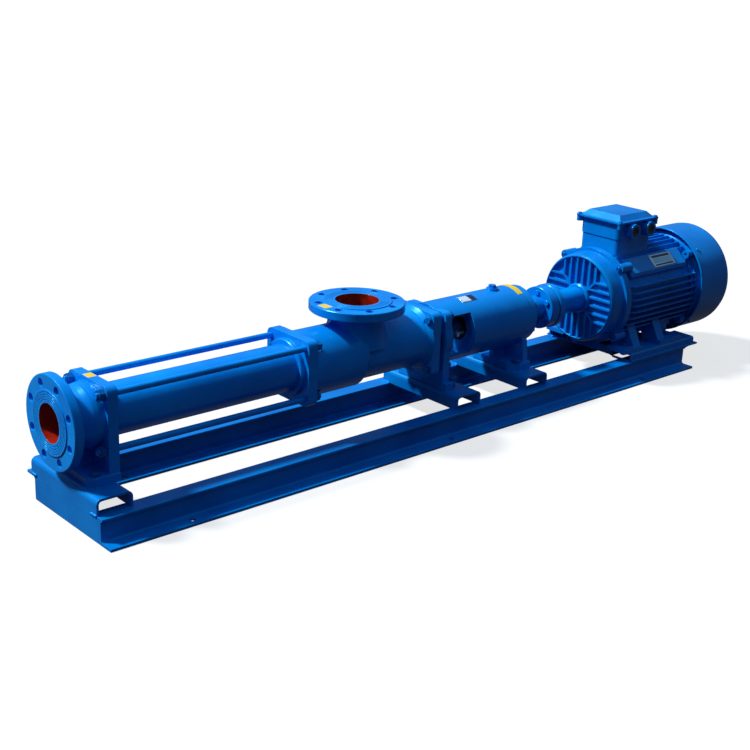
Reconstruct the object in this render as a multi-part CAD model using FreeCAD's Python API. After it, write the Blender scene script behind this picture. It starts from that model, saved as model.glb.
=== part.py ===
"""Progressive cavity pump set: a single-lobe helical rotor in a rubber-lined stator, a suction casing
with a top branch, a bearing bracket, a pin coupling and a foot-mounted motor on a welded skid.

Millimetres. +X runs along the pump axis from the discharge flange to the motor, -Y is the side with
the cable entries, +Z is up. Pieces are drawn about the pump axis, with X counted from the discharge
face, and put() moves each one so that z = 0 is the skid's underside and the origin is the middle
of the whole set in plan.
"""
import FreeCAD, Part
import math
import os

V = FreeCAD.Vector

# Heights
rail_height = 56.0
motor_rail_height = 22.0
motor_shaft_height = 132.0
pump_foot_to_axis = 120.0
axis_height = rail_height + motor_rail_height + motor_shaft_height
channel_height = axis_height - rail_height - pump_foot_to_axis

# Clearances
bolt_clearance = 0.3
seat_clearance = 0.05
running_clearance = 0.06
moving_clearance = 0.4

# Skid
skid_start = 23.0
skid_end_inset = 39.0
rail_web = 5.0
rail_flange = 6.0
rail_top_width = 42.0
rail_lip = 6.0
rail_foot_width = 36.0
rail_root = 6.0
rail_outer_y = 149.0
end_plate_thickness = 6.0
anchor_hole_radius = 7.0
anchor_front_inset = 195.0
anchor_rear_inset = 203.0
channel_width = 80.0
front_channel_inset = 0.0
middle_channel_lead = -8.0
rear_channel_lead = 67.0
channel_half_length = 130.0
channel_wall = 5.0
channel_bend = 12.0
motor_rail_inner_y = 74.0
motor_rail_wall = 5.0
motor_rail_bend = 7.0
motor_rail_lip = 4.0
motor_rail_lead = 13.0
motor_rail_length = 278.0
motor_rail_tail = 11.0
motor_rail_lip_reach = 2.0

# Discharge casing
discharge_bore = 40.0
discharge_flange_radius = 97.5
discharge_face_radius = 66.5
discharge_pcd = 160.0
flange_hole_radius = 9.0
flange_hole_count = 8
flange_thickness = 22.0
face_height = 2.0
discharge_length = 108.0
tie_plate_thickness = 23.0
tie_plate_half = 75.0
plate_corner = 15.0
bell_radius = 68.0
foot_thickness = 17.0
discharge_foot_half = 79.0
foot_reach = 46.0
foot_corner = 25.0
discharge_foot_corner = 16.0
rib_thickness = 14.0

# Tie rods
tie_y = 60.0
tie_z = 58.0
tie_radius = 7.0
tie_nut_flats = 21.0
tie_nut_height = 13.0
tie_tail = 5.0

# Stator and rotor
stator_radius = 54.0
stator_wall = 5.0
stator_length = 480.0
stator_spigot = 6.0
gasket_thickness = 2.0
eccentricity = 7.0
rotor_radius = 21.0
rotor_pitch = 100.0
rotor_gap = 0.5
rotor_shank_step = 1.0
rotor_overrun = 2.0
sections_per_pitch = 12

# Suction casing
suction_flange_thickness = 25.0
suction_collar = 12.0
suction_collar_radius = 65.0
suction_length = 398.0
barrel_radius = 76.0
barrel_length = 150.0
rear_barrel_radius = 66.0
barrel_wall = 10.0
rear_flange_thickness = 26.0
rear_flange_half = 72.0
rear_flange_top = 74.0
rear_flange_bottom = 83.0
rear_flare = 20.0
rear_flare_rise = 12.0
corner_bolt_recess = 12.0
branch_x = 196.0
branch_height = 122.0
branch_bore = 50.0
branch_flange_radius = 110.0
branch_face_radius = 79.0
branch_pcd = 180.0
branch_top_radius = 63.0
branch_root_radius = 73.0
branch_fillet = 9.0

# Stuffing box and gland
box_flange_thickness = 14.0
box_flange_radius = 62.0
box_spigot = 10.0
box_body_radius = 52.0
box_body_length = 42.0
packing_size = 10.0
packing_count = 4
packing_width = 8.0
shaft_seal_radius = 22.0
gland_entry = 8.0
gland_flange_thickness = 12.0
gland_lug_radius = 10.0
gland_stud_y = 41.0
gland_stud_radius = 5.0
gland_nut_flats = 17.0
gland_nut_height = 9.0
gland_travel = 16.0

# Bearing bracket
bracket_length = 300.0
bracket_plate_thickness = 20.0
bracket_plate_half = 72.0
bracket_plate_top = 70.0
bracket_radius = 76.5
lantern_radius = 64.0
lantern_length = 112.0
window_start = 24.0
window_length = 74.0
window_top = 52.0
window_bottom = 46.0
partition_thickness = 14.0
bearing_outer_radius = 50.0
bearing_bore_radius = 22.5
bearing_width = 25.0
bearing_back_gap = 3.0
bearing_shoulder = 27.0
front_foot_reach = 32.0
rear_foot_reach = 44.0
rear_foot_plate = 18.0
bracket_foot_half = 84.0
corner_bolt_y = 58.0
corner_bolt_top = 57.0
corner_bolt_bottom = 66.0
corner_bolt_radius = 6.0
corner_bolt_flats = 18.0
corner_nut_height = 10.0
cover_length = 26.0
cover_radius = 72.0
plug_x = 228.0
bracket_label_x = 97.0
bracket_label_length = 50.0
bracket_label_near_y = -31.0
bracket_label_far_y = -5.0
foot_bolt_y = 70.0
discharge_bolt_y = 62.0
foot_bolt_radius = 7.0
foot_bolt_flats = 21.0

# Connecting rod and its joints
drive_joint_x = 905.0
rotor_joint_x = 640.0
joint_head_radius = 29.0
joint_socket_radius = 20.5
joint_socket_depth = 26.0
joint_cheek = 22.0
joint_pin_radius = 6.0
rod_pin_play = 0.9
rod_end_radius = 17.5
rod_radius = 13.0
boot_radius = 24.0
boot_length = 14.0

# Coupling
coupling_gap_to_cover = 76.0
coupling_radius = 55.0
pump_half_length = 29.0
coupling_gap = 3.0
motor_half_radius = 57.0
motor_half_length = 18.0
motor_hub_radius = 33.0
motor_hub_length = 104.0
pump_hub_radius = 31.0
pump_hub_length = 66.0
coupling_pin_count = 6
coupling_pin_circle = 40.2
coupling_pin_radius = 4.0
coupling_bush_radius = 7.0
shaft_end_radius = 19.0
key_width = 10.0
key_height = 8.0

# Motor
motor_gap = 2.0
shield_face = 6.0
shield_depth = 66.0
shield_rim = 9.0
shield_recess = 9.0
shield_rib_pitch = 21.3
shield_rib_half = 2.7
shield_ring = 20.0
shield_boss_radius = 40.0
frame_length = 288.0
core_radius = 112.0
core_wall = 14.0
shield_step = 6.0
shield_ring_step = 18.0
shield_bolt_step = 20.0
fin_height = 18.0
pad_half_width = 30.0
pad_angle = 44.0
rating_plate_offset = 24.5
rating_plate_half_length = 45.5
rating_plate_half_width = 19.0
cowl_step = 34.0
fan_gap = 28.0
fin_thickness = 3.6
fin_ramp = 18.0
fin_pitch = 17.5
side_fin_count = 10
motor_foot_x = 89.0
motor_foot_pitch = 178.0
motor_foot_y = 108.0
motor_foot_pad = 12.0
motor_foot_end = 32.0
motor_foot_web = 10.0
motor_leg_width = 30.0
motor_leg_offset = 12.0
rear_leg_reach = 60.0
motor_foot_outer_y = 140.0
motor_foot_inner_y = 78.0
motor_bolt_radius = 5.0
motor_bolt_flats = 17.0
motor_bolt_head = 6.5
motor_bolt_room = 1.0
shield_bolt_radius = 4.0
rear_shield_length = 30.0
rear_ear_thickness = 8.0
rear_ear_width = 18.0
cowl_spigot_gap = 9.0
cowl_lug_half = 9.0
motor_bearing_outer = 40.0
motor_bearing_bore = 20.0
motor_bearing_width = 18.0
lamination_length = 150.0
winding_slot_depth = 36.0
coil_end_length = 26.0
air_gap = 0.6
cowl_wall = 3.0
cowl_length = 145.0
cowl_overlap = 28.0
cowl_screw_inset = 20.0
cowl_round = 30.0

# Terminal box
box_gap = 1.0
box_length = 142.0
box_half_width = 66.0
box_corner = 14.0
lid_screw_outset = 3.0
lug_height = 14.0
box_top = 205.0
box_wall = 5.0
lid_overhang = 9.0
lid_ear_radius = 8.0
lid_rim = 5.0
lid_crown = 14.0
lid_crown_inset = 1.0
lid_chamfer = 14.0
gland_hole_radius = 15.5
gland_sleeve_radius = 20.0
gland_sleeve_length = 19.0
gland_spacing = 66.0
gland_height = 183.0

# Stations along the axis, counted from the discharge face
tie_plate_x = discharge_length - tie_plate_thickness
stator_x = discharge_length - stator_spigot
stator_end = stator_x + stator_length
suction_x = stator_end - stator_spigot
branch_centre = suction_x + branch_x
suction_end = suction_x + suction_length
bracket_x = suction_end + box_flange_thickness
bracket_end = bracket_x + bracket_length
cover_end = bracket_end + cover_length
coupling_x = cover_end + coupling_gap_to_cover
pump_half_end = coupling_x + pump_half_length
motor_half_x = pump_half_end + coupling_gap
motor_half_end = motor_half_x + motor_half_length
hub_end = motor_half_end + motor_hub_length
motor_x = hub_end + motor_gap
shield_x = motor_x + shield_face
frame_x = shield_x + shield_depth
frame_end = frame_x + frame_length
rear_shield_end = frame_end + rear_shield_length
cowl_x = rear_shield_end - cowl_overlap
cowl_end = cowl_x + cowl_length
packing_x = bracket_x + 2.0
packing_end = packing_x + packing_count * packing_width
box_end = bracket_x + box_body_length
gland_nose_x = packing_end + moving_clearance
gland_flange_x = box_end + gland_entry
gland_flange_end = gland_flange_x + gland_flange_thickness
partition_x = bracket_x + lantern_length
front_bearing_x = partition_x + partition_thickness
rear_bearing_x = bracket_end - bearing_back_gap - bearing_width
middle_x = cowl_end / 2.0
motor_rail_start = motor_x + motor_foot_x - motor_rail_lead
skid_length = motor_rail_start + motor_rail_length - skid_end_inset - skid_start
anchor_first_x = skid_start + anchor_front_inset
anchor_pitch = (skid_length - anchor_front_inset - anchor_rear_inset) / 2
near_web = -rail_outer_y + rail_lip
far_web = rail_outer_y - rail_top_width + rail_lip
middle_y = (near_web - rail_foot_width + rail_outer_y + motor_rail_lip_reach) / 2.0

shield_radius = core_radius + shield_step
shield_ring_radius = core_radius + shield_ring_step
shield_bolt_circle = core_radius + shield_bolt_step
fin_tip_radius = core_radius + fin_height
cowl_radius = core_radius + cowl_step
fan_radius = cowl_radius - fan_gap
lamination_bore = core_radius - core_wall - winding_slot_depth
shaft_bore_radius = shaft_seal_radius + 0.6
coupling_bore = shaft_end_radius + seat_clearance
cavity_radius = rotor_radius + rotor_gap
channel_positions = {
    "front_cross_channel": skid_start + front_channel_inset,
    "middle_cross_channel": suction_end - middle_channel_lead,
    "rear_cross_channel": bracket_end - rear_channel_lead,
}


# Basic shapes, all about the pump axis
def cyl(x0, x1, radius, y=0.0, z=0.0):
    return Part.makeCylinder(radius, x1 - x0, V(x0, y, z), V(1, 0, 0))


def tube(x0, x1, outer, inner, y=0.0, z=0.0):
    return cyl(x0, x1, outer, y, z).cut(cyl(x0 - 1, x1 + 1, inner, y, z))


def upright(x, y, z0, z1, radius):
    return Part.makeCylinder(radius, z1 - z0, V(x, y, z0), V(0, 0, 1))


def cross_hole(x, z, y0, y1, radius):
    return Part.makeCylinder(radius, y1 - y0, V(x, y0, z), V(0, 1, 0))


def box(x0, x1, y0, y1, z0, z1):
    return Part.makeBox(x1 - x0, y1 - y0, z1 - z0, V(x0, y0, z0))


def revolve(points):
    """A solid of revolution about the pump axis from (x, radius) points."""
    corners = [V(x, 0, r) for x, r in points]
    wire = Part.makePolygon(corners + [corners[0]])
    return Part.Face(wire).revolve(V(0, 0, 0), V(1, 0, 0), 360)


def rounded_wire(points):
    """A closed wire through (corner, radius) pairs, each corner rounded by its radius."""
    count = len(points)
    edges = []
    ends = []
    for i, (corner, radius) in enumerate(points):
        before = (points[i - 1][0] - corner).normalize()
        after = (points[(i + 1) % count][0] - corner).normalize()
        if radius <= 0:
            ends.append((corner, corner, None))
            continue
        half = before.getAngle(after) / 2.0
        reach = radius / math.tan(half)
        middle = (before + after).normalize()
        bulge = corner + middle * (radius / math.sin(half) - radius)
        ends.append((corner + before * reach, corner + after * reach, bulge))
    for i in range(count):
        start, end, bulge = ends[i]
        if bulge is not None:
            edges.append(Part.Arc(start, bulge, end).toShape())
        following = ends[(i + 1) % count][0]
        if (following - end).Length > 1e-6:
            edges.append(Part.LineSegment(end, following).toShape())
    return Part.Wire(edges)


def extrude(points, direction):
    return Part.Face(rounded_wire(points)).extrude(direction)


def plate(x0, x1, half, z0, z1, corner, foot_corner_radius=None):
    """A plate across the axis with rounded upper corners and its own lower corners."""
    low = corner if foot_corner_radius is None else foot_corner_radius
    outline = [(V(x0, -half, z0), low), (V(x0, half, z0), low),
               (V(x0, half, z1), corner), (V(x0, -half, z1), corner)]
    return extrude(outline, V(x1 - x0, 0, 0))


def hexagon(x0, x1, flats, y=0.0, z=0.0):
    """A hexagonal prism along X."""
    radius = flats / math.sqrt(3.0)
    corners = []
    for i in range(7):
        angle = math.radians(60 * i + 30)
        corners.append(V(x0, y + radius * math.cos(angle), z + radius * math.sin(angle)))
    return Part.Face(Part.makePolygon(corners)).extrude(V(x1 - x0, 0, 0))


def turn_up(shape, x, y, z):
    """Turns a piece drawn along +X at the origin to point along +Z at the given place."""
    shape = shape.copy()
    shape.rotate(V(0, 0, 0), V(0, 1, 0), -90)
    shape.translate(V(x, y, z))
    return shape


def nut(x0, height, flats, bore, y=0.0, z=0.0):
    body = hexagon(x0, x0 + height, flats, y, z)
    chamfer = Part.makeCone(flats / 2 + height, flats / 2, height, V(x0, y, z), V(1, 0, 0))
    return body.common(chamfer).cut(cyl(x0 - 1, x0 + height + 1, bore, y, z))


def bolt(x0, head, length, radius, flats):
    """A hexagon bolt with its head from x0 - head to x0 and its shank from x0."""
    top = hexagon(x0 - head, x0, flats)
    dome = Part.makeCone(flats / 2 * 0.96, flats / 2 + head, head, V(x0 - head, 0, 0), V(1, 0, 0))
    return top.common(dome).fuse(cyl(x0, x0 + length, radius))


def moved(shape, x, y, z):
    shape = shape.copy()
    shape.translate(V(x, y, z))
    return shape


def ring_angles(count, start=0.0):
    return [math.radians(start + 360.0 * i / count) for i in range(count)]


def around(count, circle, start=0.0):
    """(y, z) places on a circle about the axis."""
    return [(circle * math.cos(a), circle * math.sin(a)) for a in ring_angles(count, start)]


def corners4(y, top, bottom):
    return [(y, top), (-y, top), (y, -bottom), (-y, -bottom)]


def fuse(shapes):
    result = shapes[0].multiFuse(shapes[1:]) if len(shapes) > 1 else shapes[0]
    return result.removeSplitter()


def cut(shape, tools):
    return shape.cut(Part.makeCompound(tools)) if tools else shape


def face_grooves(x, radii, width, depth):
    """Fine turned grooves in a flange face at x."""
    return [tube(x - 1, x + depth, r + width, r) for r in radii]


nodes = {}


def put(name, shape):
    shape = shape.copy()
    shape.translate(V(-middle_x, -middle_y, axis_height))
    nodes[name] = shape


# Skid
def z_rail(web_face):
    """A Z-shaped rail: its web faces -Y, the foot points to -Y and the top mostly to +Y."""
    x0 = skid_start
    base = -axis_height
    top = base + rail_height
    tip = web_face - rail_foot_width
    back = web_face + rail_web
    lip = web_face - rail_lip
    inner = lip + rail_top_width
    outline = [
        (V(x0, tip, base), 0), (V(x0, tip, base + rail_flange), 1.5),
        (V(x0, web_face, base + rail_flange), rail_root),
        (V(x0, web_face, top - rail_flange), rail_root / 2),
        (V(x0, lip, top - rail_flange), 1.0), (V(x0, lip, top), 2.0),
        (V(x0, inner, top), 1.0), (V(x0, inner, top - rail_flange), 1.5),
        (V(x0, back, top - rail_flange), rail_root), (V(x0, back, base), 2.0),
    ]
    rail = extrude(outline, V(skid_length, 0, 0))
    hole_y = (tip + web_face) / 2
    holes = []
    for i in range(3):
        x = anchor_first_x + i * anchor_pitch
        holes.append(upright(x, hole_y, base - 1, base + rail_flange + 1, anchor_hole_radius))
    return cut(rail, holes)


def end_plate(x0):
    """A plate welded between the two webs, notched round the near top and the far foot."""
    base = -axis_height
    top = base + rail_height
    y0 = near_web + rail_web
    notch_y = near_web - rail_lip + rail_top_width
    foot_y = far_web - rail_foot_width
    corners = [
        V(x0, y0, base), V(x0, foot_y, base), V(x0, foot_y, base + rail_flange),
        V(x0, far_web, base + rail_flange), V(x0, far_web, top - rail_flange),
        V(x0, far_web - rail_lip, top - rail_flange), V(x0, far_web - rail_lip, top),
        V(x0, notch_y, top), V(x0, notch_y, top - rail_flange), V(x0, y0, top - rail_flange),
    ]
    rounds = [0, 0, 0, rail_root + 0.5, rail_root / 2 + 0.5, 0, 0, 0, 0, rail_root + 0.5]
    outline = list(zip(corners, rounds))
    return extrude(outline, V(end_plate_thickness, 0, 0))


def cross_channel(x0):
    """An inverted U bent from plate, laid across both rails."""
    y0 = -channel_half_length
    base = -axis_height + rail_height
    top = base + channel_height
    x1 = x0 + channel_width
    outer = [(V(x0, y0, base), 0), (V(x1, y0, base), 0),
             (V(x1, y0, top), channel_bend), (V(x0, y0, top), channel_bend)]
    wall = channel_wall
    inner = [(V(x0 + wall, y0, base - 1), 0), (V(x1 - wall, y0, base - 1), 0),
             (V(x1 - wall, y0, top - wall), channel_bend - wall),
             (V(x0 + wall, y0, top - wall), channel_bend - wall)]
    along = V(0, 2 * channel_half_length, 0)
    return extrude(outer, along).cut(extrude(inner, along))


def motor_rail(side):
    """A low inverted U along X under one pair of motor feet, with small outward lips."""
    base = -axis_height + rail_height
    top = -motor_shaft_height
    x0 = motor_rail_start
    x1 = x0 + motor_rail_length
    y0 = side * motor_rail_inner_y
    y1 = side * (rail_outer_y - motor_rail_lip)
    wall = motor_rail_wall
    outer = [(V(x0, y0, base), 0), (V(x0, y1, base), 0),
             (V(x0, y1, top), motor_rail_bend), (V(x0, y0, top), motor_rail_bend)]
    inner = [(V(x0, y0 + side * wall, base - 1), 0), (V(x0, y1 - side * wall, base - 1), 0),
             (V(x0, y1 - side * wall, top - wall), motor_rail_bend - wall),
             (V(x0, y0 + side * wall, top - wall), motor_rail_bend - wall)]
    along = V(motor_rail_length, 0, 0)
    shell = extrude(outer, along).cut(extrude(inner, along))
    lip_y = sorted((y1 - side * wall, side * (rail_outer_y + motor_rail_lip_reach)))
    lip = box(x0, x1 + motor_rail_tail, lip_y[0], lip_y[1], base, base + motor_rail_lip)
    holes = [upright(x, side * motor_foot_y, base - 1, top + 1, motor_bolt_radius + bolt_clearance)
             for x in motor_bolt_stations()]
    return cut(fuse([shell, lip]), holes)


def motor_bolt_stations():
    first = motor_x + motor_foot_x
    return [first, first + motor_foot_pitch]


def foot_bolt_places():
    """(x, y) of the bolts that hold the pump's three feet to the cross channels."""
    xs = [tie_plate_x - foot_reach * 0.55, bracket_x + bracket_plate_thickness + front_foot_reach * 0.5,
          bracket_end - rear_foot_plate - rear_foot_reach * 0.5]
    halves = [discharge_bolt_y, foot_bolt_y, foot_bolt_y]
    return [(x, side * half) for x, half in zip(xs, halves) for side in (-1, 1)]


def foot_holes(z0, z1):
    return [upright(x, y, z0, z1, foot_bolt_radius + bolt_clearance) for x, y in foot_bolt_places()]


def skid():
    put("near_side_rail", z_rail(near_web))
    put("far_side_rail", z_rail(far_web))
    put("front_end_plate", end_plate(skid_start))
    put("rear_end_plate", end_plate(skid_start + skid_length - end_plate_thickness))
    top = -axis_height + rail_height + channel_height
    for name, x0 in channel_positions.items():
        put(name, cut(cross_channel(x0), foot_holes(top - channel_wall - 1, top + 1)))
    put("near_motor_rail", motor_rail(-1))
    put("far_motor_rail", motor_rail(1))
    put("motor_cross_member", motor_cross_member())


def motor_cross_member():
    """An angle between the two motor rails, under the front of the motor."""
    base = -axis_height + rail_height
    x0 = motor_rail_start + 4.0
    half = motor_rail_inner_y
    upright_leg = box(x0, x0 + motor_rail_wall, -half, half, base, -motor_shaft_height)
    flat_leg = box(x0, x0 + 40.0, -half, half, base, base + motor_rail_wall)
    return fuse([upright_leg, flat_leg])


# Discharge end
def foot_block(x0, x1, half, chamfer_front, c=foot_corner):
    """A pump foot: a slab with two chamfered corners on one end."""
    z0 = -pump_foot_to_axis
    if chamfer_front:
        pts = [V(x0, -half + c, z0), V(x0, half - c, z0), V(x0 + c, half, z0), V(x1, half, z0),
               V(x1, -half, z0), V(x0 + c, -half, z0)]
    else:
        pts = [V(x0, -half, z0), V(x0, half, z0), V(x1 - c, half, z0), V(x1, half - c, z0),
               V(x1, -half + c, z0), V(x1 - c, -half, z0)]
    return extrude([(p, 3.0) for p in pts], V(0, 0, foot_thickness))


def discharge_casing():
    bore = discharge_bore
    body = revolve([
        (0, bore), (0, discharge_face_radius), (face_height, discharge_face_radius),
        (face_height, discharge_flange_radius - 1.5), (face_height + 1.5, discharge_flange_radius),
        (flange_thickness - 1.5, discharge_flange_radius),
        (flange_thickness, discharge_flange_radius - 1.5),
        (flange_thickness, bore + 21), (flange_thickness + 3, bore + 17),
        (flange_thickness + 10, bore + 15), (flange_thickness + 20, bore + 16),
        (flange_thickness + 32, bore + 21), (tie_plate_x - 22, bell_radius - 2),
        (tie_plate_x - 12, bell_radius), (tie_plate_x + 2, bell_radius),
        (tie_plate_x + 2, stator_radius), (stator_x - gasket_thickness, stator_radius - 8),
        (flange_thickness + 20, bore)])
    tie_plate = plate(tie_plate_x, discharge_length, tie_plate_half, -pump_foot_to_axis,
                      tie_plate_half, plate_corner, 1.0)
    foot = foot_block(tie_plate_x - foot_reach, discharge_length, discharge_foot_half, True,
                      discharge_foot_corner)
    rib = box(tie_plate_x - foot_reach * 0.8, tie_plate_x + 1, -rib_thickness / 2, rib_thickness / 2,
              -pump_foot_to_axis + 1, -stator_radius)
    casing = fuse([body, tie_plate, foot, rib])
    tools = [revolve([(-1, 0), (-1, bore), (flange_thickness + 20, bore),
                      (stator_x - gasket_thickness, stator_radius - 8),
                      (stator_x - gasket_thickness, stator_radius + seat_clearance),
                      (discharge_length + 1, stator_radius + seat_clearance), (discharge_length + 1, 0)])]
    tools += [cyl(-1, flange_thickness + 1, flange_hole_radius, y, z)
              for y, z in around(flange_hole_count, discharge_pcd / 2, 22.5)]
    tools += [cyl(tie_plate_x - 25, discharge_length + 1, tie_radius + bolt_clearance, y, z)
              for y, z in corners4(tie_y, tie_z, tie_z)]
    tools += face_grooves(0, [bore + 6 + 5 * i for i in range(4)], 1.2, 0.8)
    tools += foot_holes(-pump_foot_to_axis - 1, -pump_foot_to_axis + foot_thickness + 1)[:2]
    return cut(casing, tools)


def tie_rods():
    x0 = tie_plate_x - tie_nut_height - tie_tail
    x1 = suction_x + suction_flange_thickness + tie_nut_height + tie_tail
    rods = []
    for y, z in corners4(tie_y, tie_z, tie_z):
        rod = cyl(x0, x1, tie_radius, y, z)
        tip = [e for e in rod.Edges if e.Closed and abs(e.BoundBox.XMin - x0) < 0.01]
        rods.append(rod.makeChamfer(1.2, tip))
    return rods


def tie_rod_nuts():
    nuts = []
    for y, z in corners4(tie_y, tie_z, tie_z):
        for x in (tie_plate_x - tie_nut_height, suction_x + suction_flange_thickness):
            nuts.append(nut(x, tie_nut_height, tie_nut_flats, tie_radius + seat_clearance, y, z))
    return nuts


def slot_section(x, angle):
    """The stator's slot section across the axis: a rotor circle carried along a straight line."""
    r = cavity_radius
    reach = 2 * eccentricity
    u = V(0, math.cos(angle), math.sin(angle))
    w = V(0, -math.sin(angle), math.cos(angle))
    centre = V(x, 0, 0)
    a = centre + u * reach
    b = centre - u * reach
    edges = [Part.LineSegment(b - w * r, a - w * r).toShape(),
             Part.Arc(a - w * r, a + u * r, a + w * r).toShape(),
             Part.LineSegment(a + w * r, b + w * r).toShape(),
             Part.Arc(b + w * r, b - u * r, b - w * r).toShape()]
    return Part.Wire(edges)


def helix_angle(x):
    """The rotor's turn at a station, 0 at the discharge end of the stator."""
    return 2 * math.pi * (x - stator_x) / rotor_pitch


def stations(x0, x1):
    step = rotor_pitch / sections_per_pitch
    count = int(math.ceil((x1 - x0) / step))
    return [x0 + (x1 - x0) * i / count for i in range(count + 1)]


def stator_liner():
    rubber = cyl(stator_x, stator_end, stator_radius - stator_wall - seat_clearance)
    step = rotor_pitch / sections_per_pitch
    wires = [slot_section(x, helix_angle(x) / 2) for x in stations(stator_x - step, stator_end + step)]
    return rubber.cut(Part.makeLoft(wires, True, False))


def rotor_end_x():
    return stator_end + rotor_overrun


def rotor():
    """The helical rotor at rest, its own axis one eccentricity off the stator axis."""
    wires = []
    for x in stations(stator_x + rotor_overrun, rotor_end_x()):
        angle = helix_angle(x)
        centre = V(x, eccentricity * (1 + math.cos(angle)), eccentricity * math.sin(angle))
        wires.append(Part.Wire(Part.makeCircle(rotor_radius, centre, V(1, 0, 0))))
    screw = Part.makeLoft(wires, True, False)
    y = eccentricity
    head_x = rotor_joint_x - joint_cheek
    shank_radius = rotor_radius - eccentricity - rotor_shank_step
    shank = cyl(rotor_end_x() - 1, head_x + 1, shank_radius, y)
    head = cyl(head_x, rotor_joint_x + joint_cheek, joint_head_radius, y)
    body = fuse([screw, shank, head])
    socket = cyl(rotor_joint_x - joint_socket_depth / 2 - 4, rotor_joint_x + joint_cheek + 1,
                 joint_socket_radius, y)
    pin_hole = upright(rotor_joint_x, y, -joint_head_radius - 1, joint_head_radius + 1,
                       joint_pin_radius + seat_clearance)
    return cut(body, [socket, pin_hole])


def joint_pin(x, y):
    reach = joint_head_radius - 1.5
    return upright(x, y, -reach, reach, joint_pin_radius)


def rod_frame(shape):
    """Places a piece drawn along +X from the rotor joint onto the tilted line of the rod."""
    span = drive_joint_x - rotor_joint_x
    tilt = math.degrees(math.atan2(eccentricity, span))
    shape = shape.copy()
    shape.rotate(V(0, 0, 0), V(0, 0, 1), -tilt)
    shape.translate(V(rotor_joint_x, eccentricity, 0))
    return shape


def rod_length():
    return math.hypot(drive_joint_x - rotor_joint_x, eccentricity)


def connecting_rod():
    length = rod_length()
    end = joint_socket_depth / 2
    body = fuse([cyl(-end, length + end, rod_radius), cyl(-end, end, rod_end_radius),
                 cyl(length - end, length + end, rod_end_radius)])
    holes = [upright(x, 0, -rod_end_radius - 1, rod_end_radius + 1, joint_pin_radius + rod_pin_play)
             for x in (0, length)]
    return rod_frame(cut(body, holes))


def joint_boots():
    """Two rubber boots on the rod, one outside each joint head."""
    length = rod_length()
    bore = rod_radius + running_clearance
    out = joint_cheek + 1.5
    boots = []
    for x0 in (out, length - out - boot_length):
        waist = boot_radius - 4
        profile = [(x0, bore), (x0, boot_radius), (x0 + 3, boot_radius), (x0 + 5, waist),
                   (x0 + 8, waist), (x0 + 10, boot_radius - 1), (x0 + boot_length, boot_radius - 1),
                   (x0 + boot_length, bore)]
        boots.append(rod_frame(revolve(profile)))
    return boots


# Suction casing
def suction_casing():
    x = suction_x
    flange_rear = x + suction_flange_thickness
    barrel_end = flange_rear + barrel_length
    x1 = suction_end
    front = plate(x, flange_rear, tie_plate_half, -tie_plate_half, tie_plate_half, plate_corner)
    rear = plate(x1 - rear_flange_thickness, x1, rear_flange_half, -rear_flange_bottom,
                 rear_flange_top, plate_corner)
    flare_x = x1 - rear_flange_thickness - rear_flare
    barrel = revolve([
        (x - suction_collar, 0), (x - suction_collar, suction_collar_radius - 2),
        (x - suction_collar + 2, suction_collar_radius), (x + 1, suction_collar_radius),
        (x + 1, barrel_radius), (barrel_end - 6, barrel_radius), (barrel_end, barrel_radius - 4),
        (barrel_end + 5, rear_barrel_radius), (flare_x, rear_barrel_radius),
        (flare_x + rear_flare * 0.5, rear_barrel_radius + rear_flare_rise * 0.3),
        (flare_x + rear_flare * 0.8, rear_barrel_radius + rear_flare_rise * 0.7),
        (flare_x + rear_flare, rear_barrel_radius + rear_flare_rise),
        (x1 - rear_flange_thickness + 1, rear_barrel_radius + rear_flare_rise),
        (x1 - rear_flange_thickness + 1, rear_barrel_radius), (x1 - 1, rear_barrel_radius), (x1 - 1, 0)])
    neck_top = branch_height - flange_thickness
    neck = Part.makeCone(branch_root_radius, branch_top_radius, neck_top - 20,
                         V(branch_centre, 0, 20), V(0, 0, 1))
    flange = turn_up(branch_flange(), branch_centre, 0, neck_top)
    blends = [blended_neck(neck, barrel_radius, x, barrel_end),
              blended_neck(neck, rear_barrel_radius, barrel_end, x1 - rear_flange_thickness)]
    casing = fuse([barrel, front, rear, flange] + blends)
    seat = stator_radius + seat_clearance
    rear_bore = rear_barrel_radius - barrel_wall
    seat_x = stator_end + gasket_thickness
    inside = revolve([
        (x - suction_collar - 1, 0), (x - suction_collar - 1, seat), (seat_x, seat),
        (seat_x, stator_radius - 5), (seat_x + 4, stator_radius - 5), (flange_rear + 12, barrel_radius - barrel_wall),
        (barrel_end - 8, barrel_radius - barrel_wall), (barrel_end + 4, rear_bore),
        (x1 + 1, rear_bore), (x1 + 1, 0)])
    down = upright(branch_centre, 0, 0, branch_height + 1, branch_bore)
    casing = cut(casing, [inside, down])
    tools = [upright(branch_centre + px, py, neck_top - 1, branch_height + 1, flange_hole_radius)
             for px, py in around(flange_hole_count, branch_pcd / 2, 22.5)]
    tools += [cyl(x - 1, flange_rear + 1, tie_radius + bolt_clearance, y, z)
              for y, z in corners4(tie_y, tie_z, tie_z)]
    tools += [cyl(flange_rear, flange_rear + tie_nut_height + tie_tail + 3, tie_nut_flats * 0.7, y, z)
              for y, z in corners4(tie_y, tie_z, tie_z)]
    tools += corner_holes(x1 - rear_flange_thickness - 1, x1 + 1)
    tools += [cyl(flare_x - 1, x1 - rear_flange_thickness, corner_bolt_recess, y, z)
              for y, z in corners4(corner_bolt_y, corner_bolt_top, corner_bolt_bottom)]
    return cut(casing, tools)


def blended_neck(neck, radius, x0, x1):
    """The part from x0 to x1 of the branch neck, filleted onto a plain barrel of the given radius."""
    reach = branch_root_radius + 3 * branch_fillet
    plain = cyl(branch_centre - reach, branch_centre + reach, radius)
    shell = fuse([plain, neck])
    seam = [e for e in shell.Edges if on_seam(e, radius)]
    shell = shell.makeFillet(branch_fillet, seam)
    return shell.common(box(x0, x1, -reach, reach, 0, branch_height))


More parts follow.
